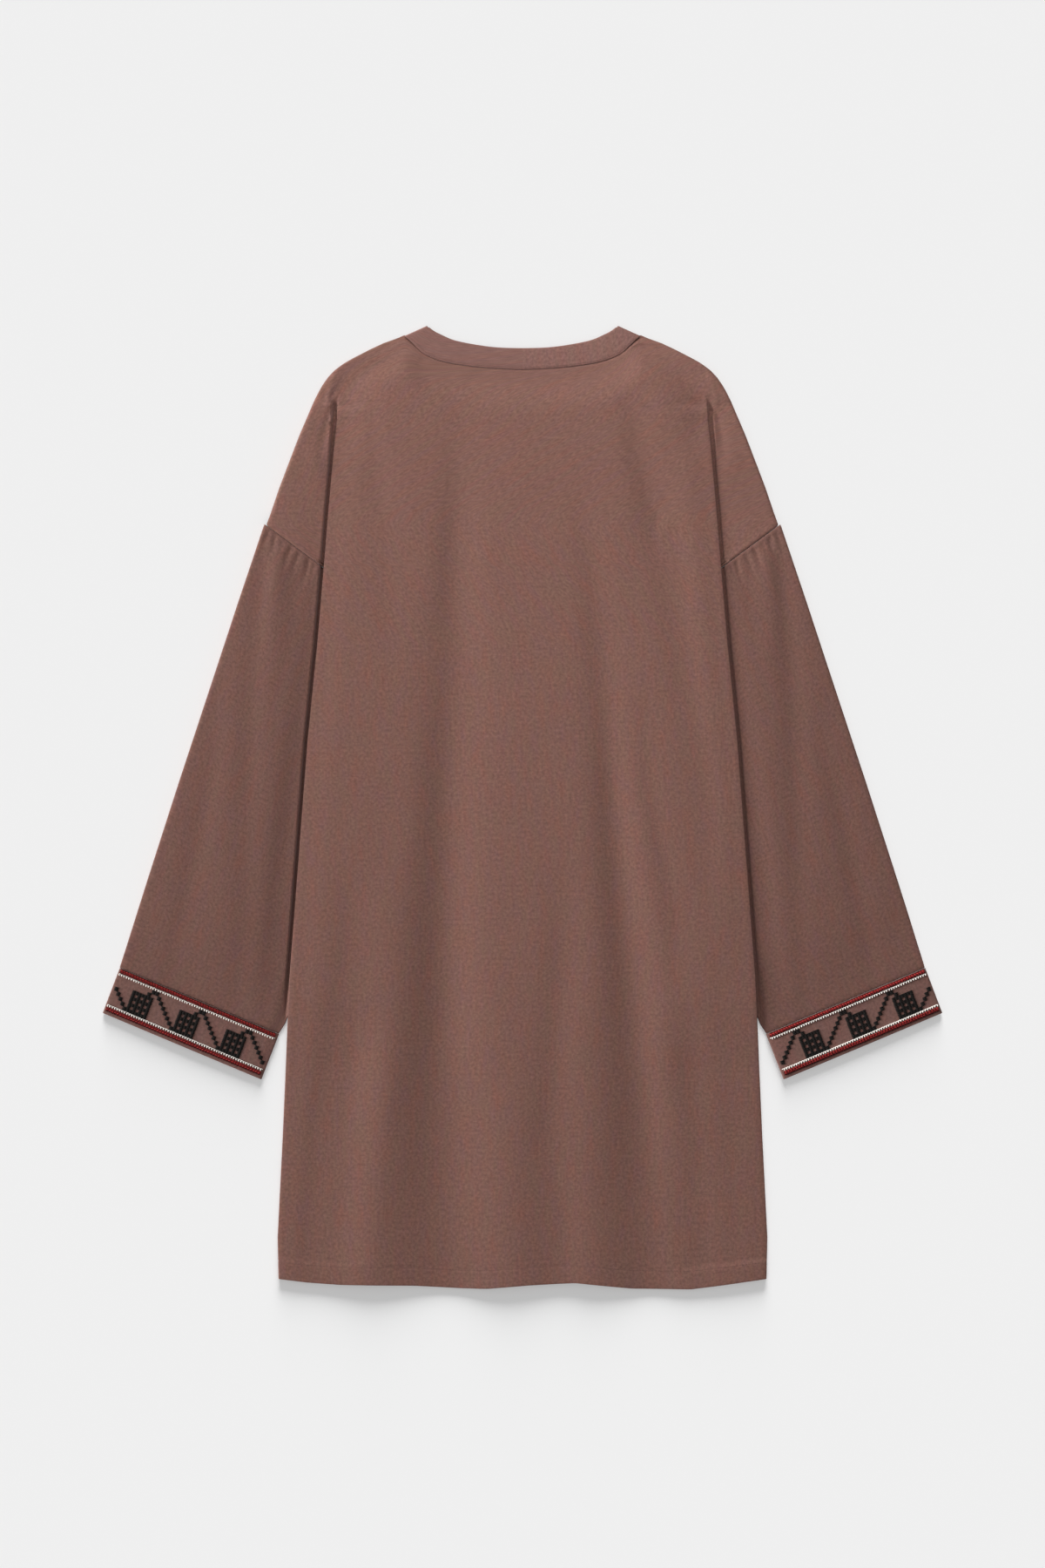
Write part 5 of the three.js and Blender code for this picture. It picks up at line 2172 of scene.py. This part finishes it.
@dataclass
class Neckband:
    """A narrow doubled band round the neck, which turns over at both shoulder edges."""

    cloth: float = 1.15
    back_level: float = 2.75
    front_level: float = 0.75
    wide: float = 22.0
    tip_room: float = 1.75
    tip_join: float = 0.5
    tip_from: float = 84.0  # places further out than this are near a tip
    tip_share: float = 0.5  # how much of the bulge they have
    turn_cells: int = 8
    cells: int = 12
    bulge: float = 0.3
    bulge_power: float = 0.5
    uneven: Ripple = Ripple(0.06, 19.0)
    stitch_inset: float = 2.2
    flat: Pair = (0.692, 0.022)
    area: float = 0.0141

    def stations(self) -> Array:
        """The ring's stations round the right half, from the middle of the back to the middle of the front.

        Returns:
            Stations x 2 edges x 3, outer edge first.
        """
        inner, outer = np.array(NECK_BACK_INNER[-1]), np.array(NECK_BACK_OUTER[-1])
        along = (outer - inner) / np.linalg.norm(outer - inner)
        beyond = np.array([-along[1], along[0]])
        parts = []
        for edges, level in (
            ((NECK_BACK_OUTER, NECK_BACK_INNER), self.back_level),
            ((NECK_FRONT_OUTER, NECK_FRONT_INNER), self.front_level),
        ):
            flat = np.stack([curve_through(edge, NECK_STEPS) for edge in edges], axis=1)
            keep = ((inner - flat) @ beyond).min(axis=1) > self.tip_room + self.tip_join
            parts.append(np.concatenate([flat[keep], np.full((keep.sum(), 2, 1), level)], axis=-1))
        radius = (self.back_level - self.front_level) / 2
        angle = np.linspace(0, np.pi, self.turn_cells + 1)[:, None]
        tip = np.stack([outer, inner]) - beyond * self.tip_room
        place = tip + beyond * radius * np.sin(angle)[..., None]
        level = np.broadcast_to(self.front_level + radius * (1 + np.cos(angle)), (len(angle), 2))
        return np.concatenate([parts[0], np.concatenate([place, level[..., None]], axis=-1), parts[1]])

    def cross(self, stations: Array, share: Array) -> Array:
        """Points across the band at each station, standing up a little between its edges on the back.

        Args:
            stations: the ring's stations.
            share: shares of the width, from the outer edge.

        Returns:
            Stations x shares x 3.
        """
        at = mix(stations[:, :1], stations[:, 1:], share[None, :, None])
        on_back = smooth((at[..., 2] - self.front_level) / (self.back_level - self.front_level))
        on_tip = np.abs(at[..., 0]) > self.tip_from
        lift = self.bulge * hump(share, self.bulge_power) + self.uneven.height(at[..., 0], at[..., 1])
        at[..., 2] += np.where(on_tip, self.tip_share, 1.0) * on_back * lift
        return at

    def build(self, finishes: Finishes) -> None:
        """Build the ring and its topstitching, and dress them.

        Args:
            finishes: the materials.
        """
        half = self.stations()
        ring = np.concatenate([half, (half * (-1, 1, 1))[-2:0:-1]])
        ways = with_rims(0.0, self.wide, self.wide / self.cells)
        at = self.cross(ring, ways / self.wide)
        across = developed(at, 1)
        across = np.concatenate([across, across[:1]])
        grain = np.stack([developed(at, 0, True), across], axis=-1)
        thick = np.broadcast_to(self.cloth / 2 * taper(np.minimum(ways, self.wide - ways)), at.shape[:2])
        piece = Grid(at, thick, grain, None, True).wall("neckband_cloth")
        finishes.dress(piece, Slot.BAND, BAND_CLOTH)
        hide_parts("neckband")
        back = half[np.isclose(half[:, 0, 2], self.back_level)][:-1]
        back = np.concatenate([(back * (-1, 1, 1))[:0:-1], back])
        line = self.cross(back, np.array([self.stitch_inset / self.wide]))[:, 0] + (0, 0, self.cloth / 2)
        stitches = NECK_STITCH.piece("neckband_stitches", line)
        finishes.dress(stitches, Slot.BAND, SEWING_THREAD)


# Studio


class LampKind(Enum):
    """Kinds of lights."""

    SUN = "SUN"
    AREA = "AREA"


@dataclass(frozen=True)
class Lamp:
    """A soft light that looks at the middle of the kurti.

    Args:
        name: its name.
        kind: its kind.
        power: its strength.
        place: where it stands, in metres.
        spread: an area light's width in metres, or a sun's angle in degrees.
    """

    name: str
    kind: LampKind
    power: float
    place: Triple
    spread: float

    def build(self, lit: bpy.types.Collection) -> None:
        """Add the light.

        Args:
            lit: what it lights.
        """
        lamp = bpy.data.lights.new(self.name, self.kind.value)
        lamp.energy = self.power
        if self.kind is LampKind.SUN:
            lamp.angle = np.radians(self.spread)
        else:
            lamp.size = self.spread
        made = bpy.data.objects.new(self.name, lamp)
        bpy.context.scene.collection.objects.link(made)
        made.location = self.place
        made.rotation_euler = (-Vector(self.place)).to_track_quat("-Z", "Y").to_euler()
        made.light_linking.receiver_collection = lit


@dataclass
class Studio:
    """Pale floor, soft light and the camera straight above."""

    floor_colour: Triple = (0.82, 0.82, 0.82)
    floor_rough: float = 0.9
    floor_half: float = 6.0
    floor_z: float = -0.0004
    eye: Triple = (0.0, 0.0232, 4.3)
    lens: float = 100.0
    sensor: float = 36.0
    sees: float = 50.0
    ambient: float = 0.275
    # From beyond the neck, and low from the left
    cloth_lamps: tuple[Lamp, ...] = (
        Lamp("top", LampKind.AREA, 19.0, (0.0, 1.5, 0.8), 1.4),
        Lamp("side", LampKind.SUN, 4.5, (-4.0, 0.3, 1.22), 24.0),
    )
    # From above, and low from beyond the neck
    floor_lamps: tuple[Lamp, ...] = (
        Lamp("floor light", LampKind.SUN, 1.1, (0.0, 0.0, 4.0), 20.0),
        Lamp("low floor light", LampKind.SUN, 6.05, (0.0, 4.0, 0.92), 26.0),
    )

    def floor(self) -> Piece:
        """Lay the floor under the kurti.

        Returns:
            The floor.
        """
        size = self.floor_half
        corners = [(-size, -size, 0), (size, -size, 0), (size, size, 0), (-size, size, 0)]
        mesh = bpy.data.meshes.new("floor")
        mesh.from_pydata(corners, [], [(0, 1, 2, 3)])
        floor = bpy.data.objects.new("floor", mesh)
        bpy.context.scene.collection.objects.link(floor)
        floor.location.z = self.floor_z
        made, work, shader = new_material("pale floor")
        colour = (*self.floor_colour, 1)
        work.fill(shader, {"Base Color": colour, "Roughness": self.floor_rough, "Specular IOR Level": 0.0})
        mesh.materials.append(made)
        floor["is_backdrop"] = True
        return floor

    def lights(self, floor: Piece) -> None:
        """Light everything a little all round, and the cloth and the floor with lamps of their own.

        Args:
            floor: the floor.
        """
        world = bpy.data.worlds.new("studio")
        world.use_nodes = True
        background = world.node_tree.nodes["Background"]
        background.inputs["Color"].default_value = (1, 1, 1, 1)
        background.inputs["Strength"].default_value = self.ambient
        bpy.context.scene.world = world
        for name, things, lamps in (
            ("cloth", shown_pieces(), self.cloth_lamps),
            ("floor", [floor], self.floor_lamps),
        ):
            lit = bpy.data.collections.new(name)
            for thing in things:
                lit.objects.link(thing)
            for lamp in lamps:
                lamp.build(lit)

    def camera(self) -> None:
        """Set the camera straight above, with the neck at the top of the picture."""
        lens = bpy.data.cameras.new("camera")
        lens.lens = self.lens
        lens.sensor_width = self.sensor
        lens.sensor_fit = "AUTO"
        lens.clip_end = self.sees
        camera = bpy.data.objects.new("camera", lens)
        camera.location = self.eye
        bpy.context.scene.collection.objects.link(camera)
        bpy.context.scene.camera = camera
        bpy.context.scene.view_settings.view_transform = "Standard"


def main() -> None:
    """Build the kurti piece by piece, then the floor, the lights and the camera."""
    logging.basicConfig(level=logging.INFO, format="%(message)s")
    finishes = Finishes()
    BackPanel("back_cloth", "back", -1).build(finishes)
    FrontPanel("front_cloth", "front", 1).build(finishes)
    for side in Side:
        Sleeve(side).build(finishes)
        Cuff(side).build(finishes)
    Neckband().build(finishes)
    studio = Studio()
    studio.lights(studio.floor())
    studio.camera()


if __name__ == "__main__":
    main()
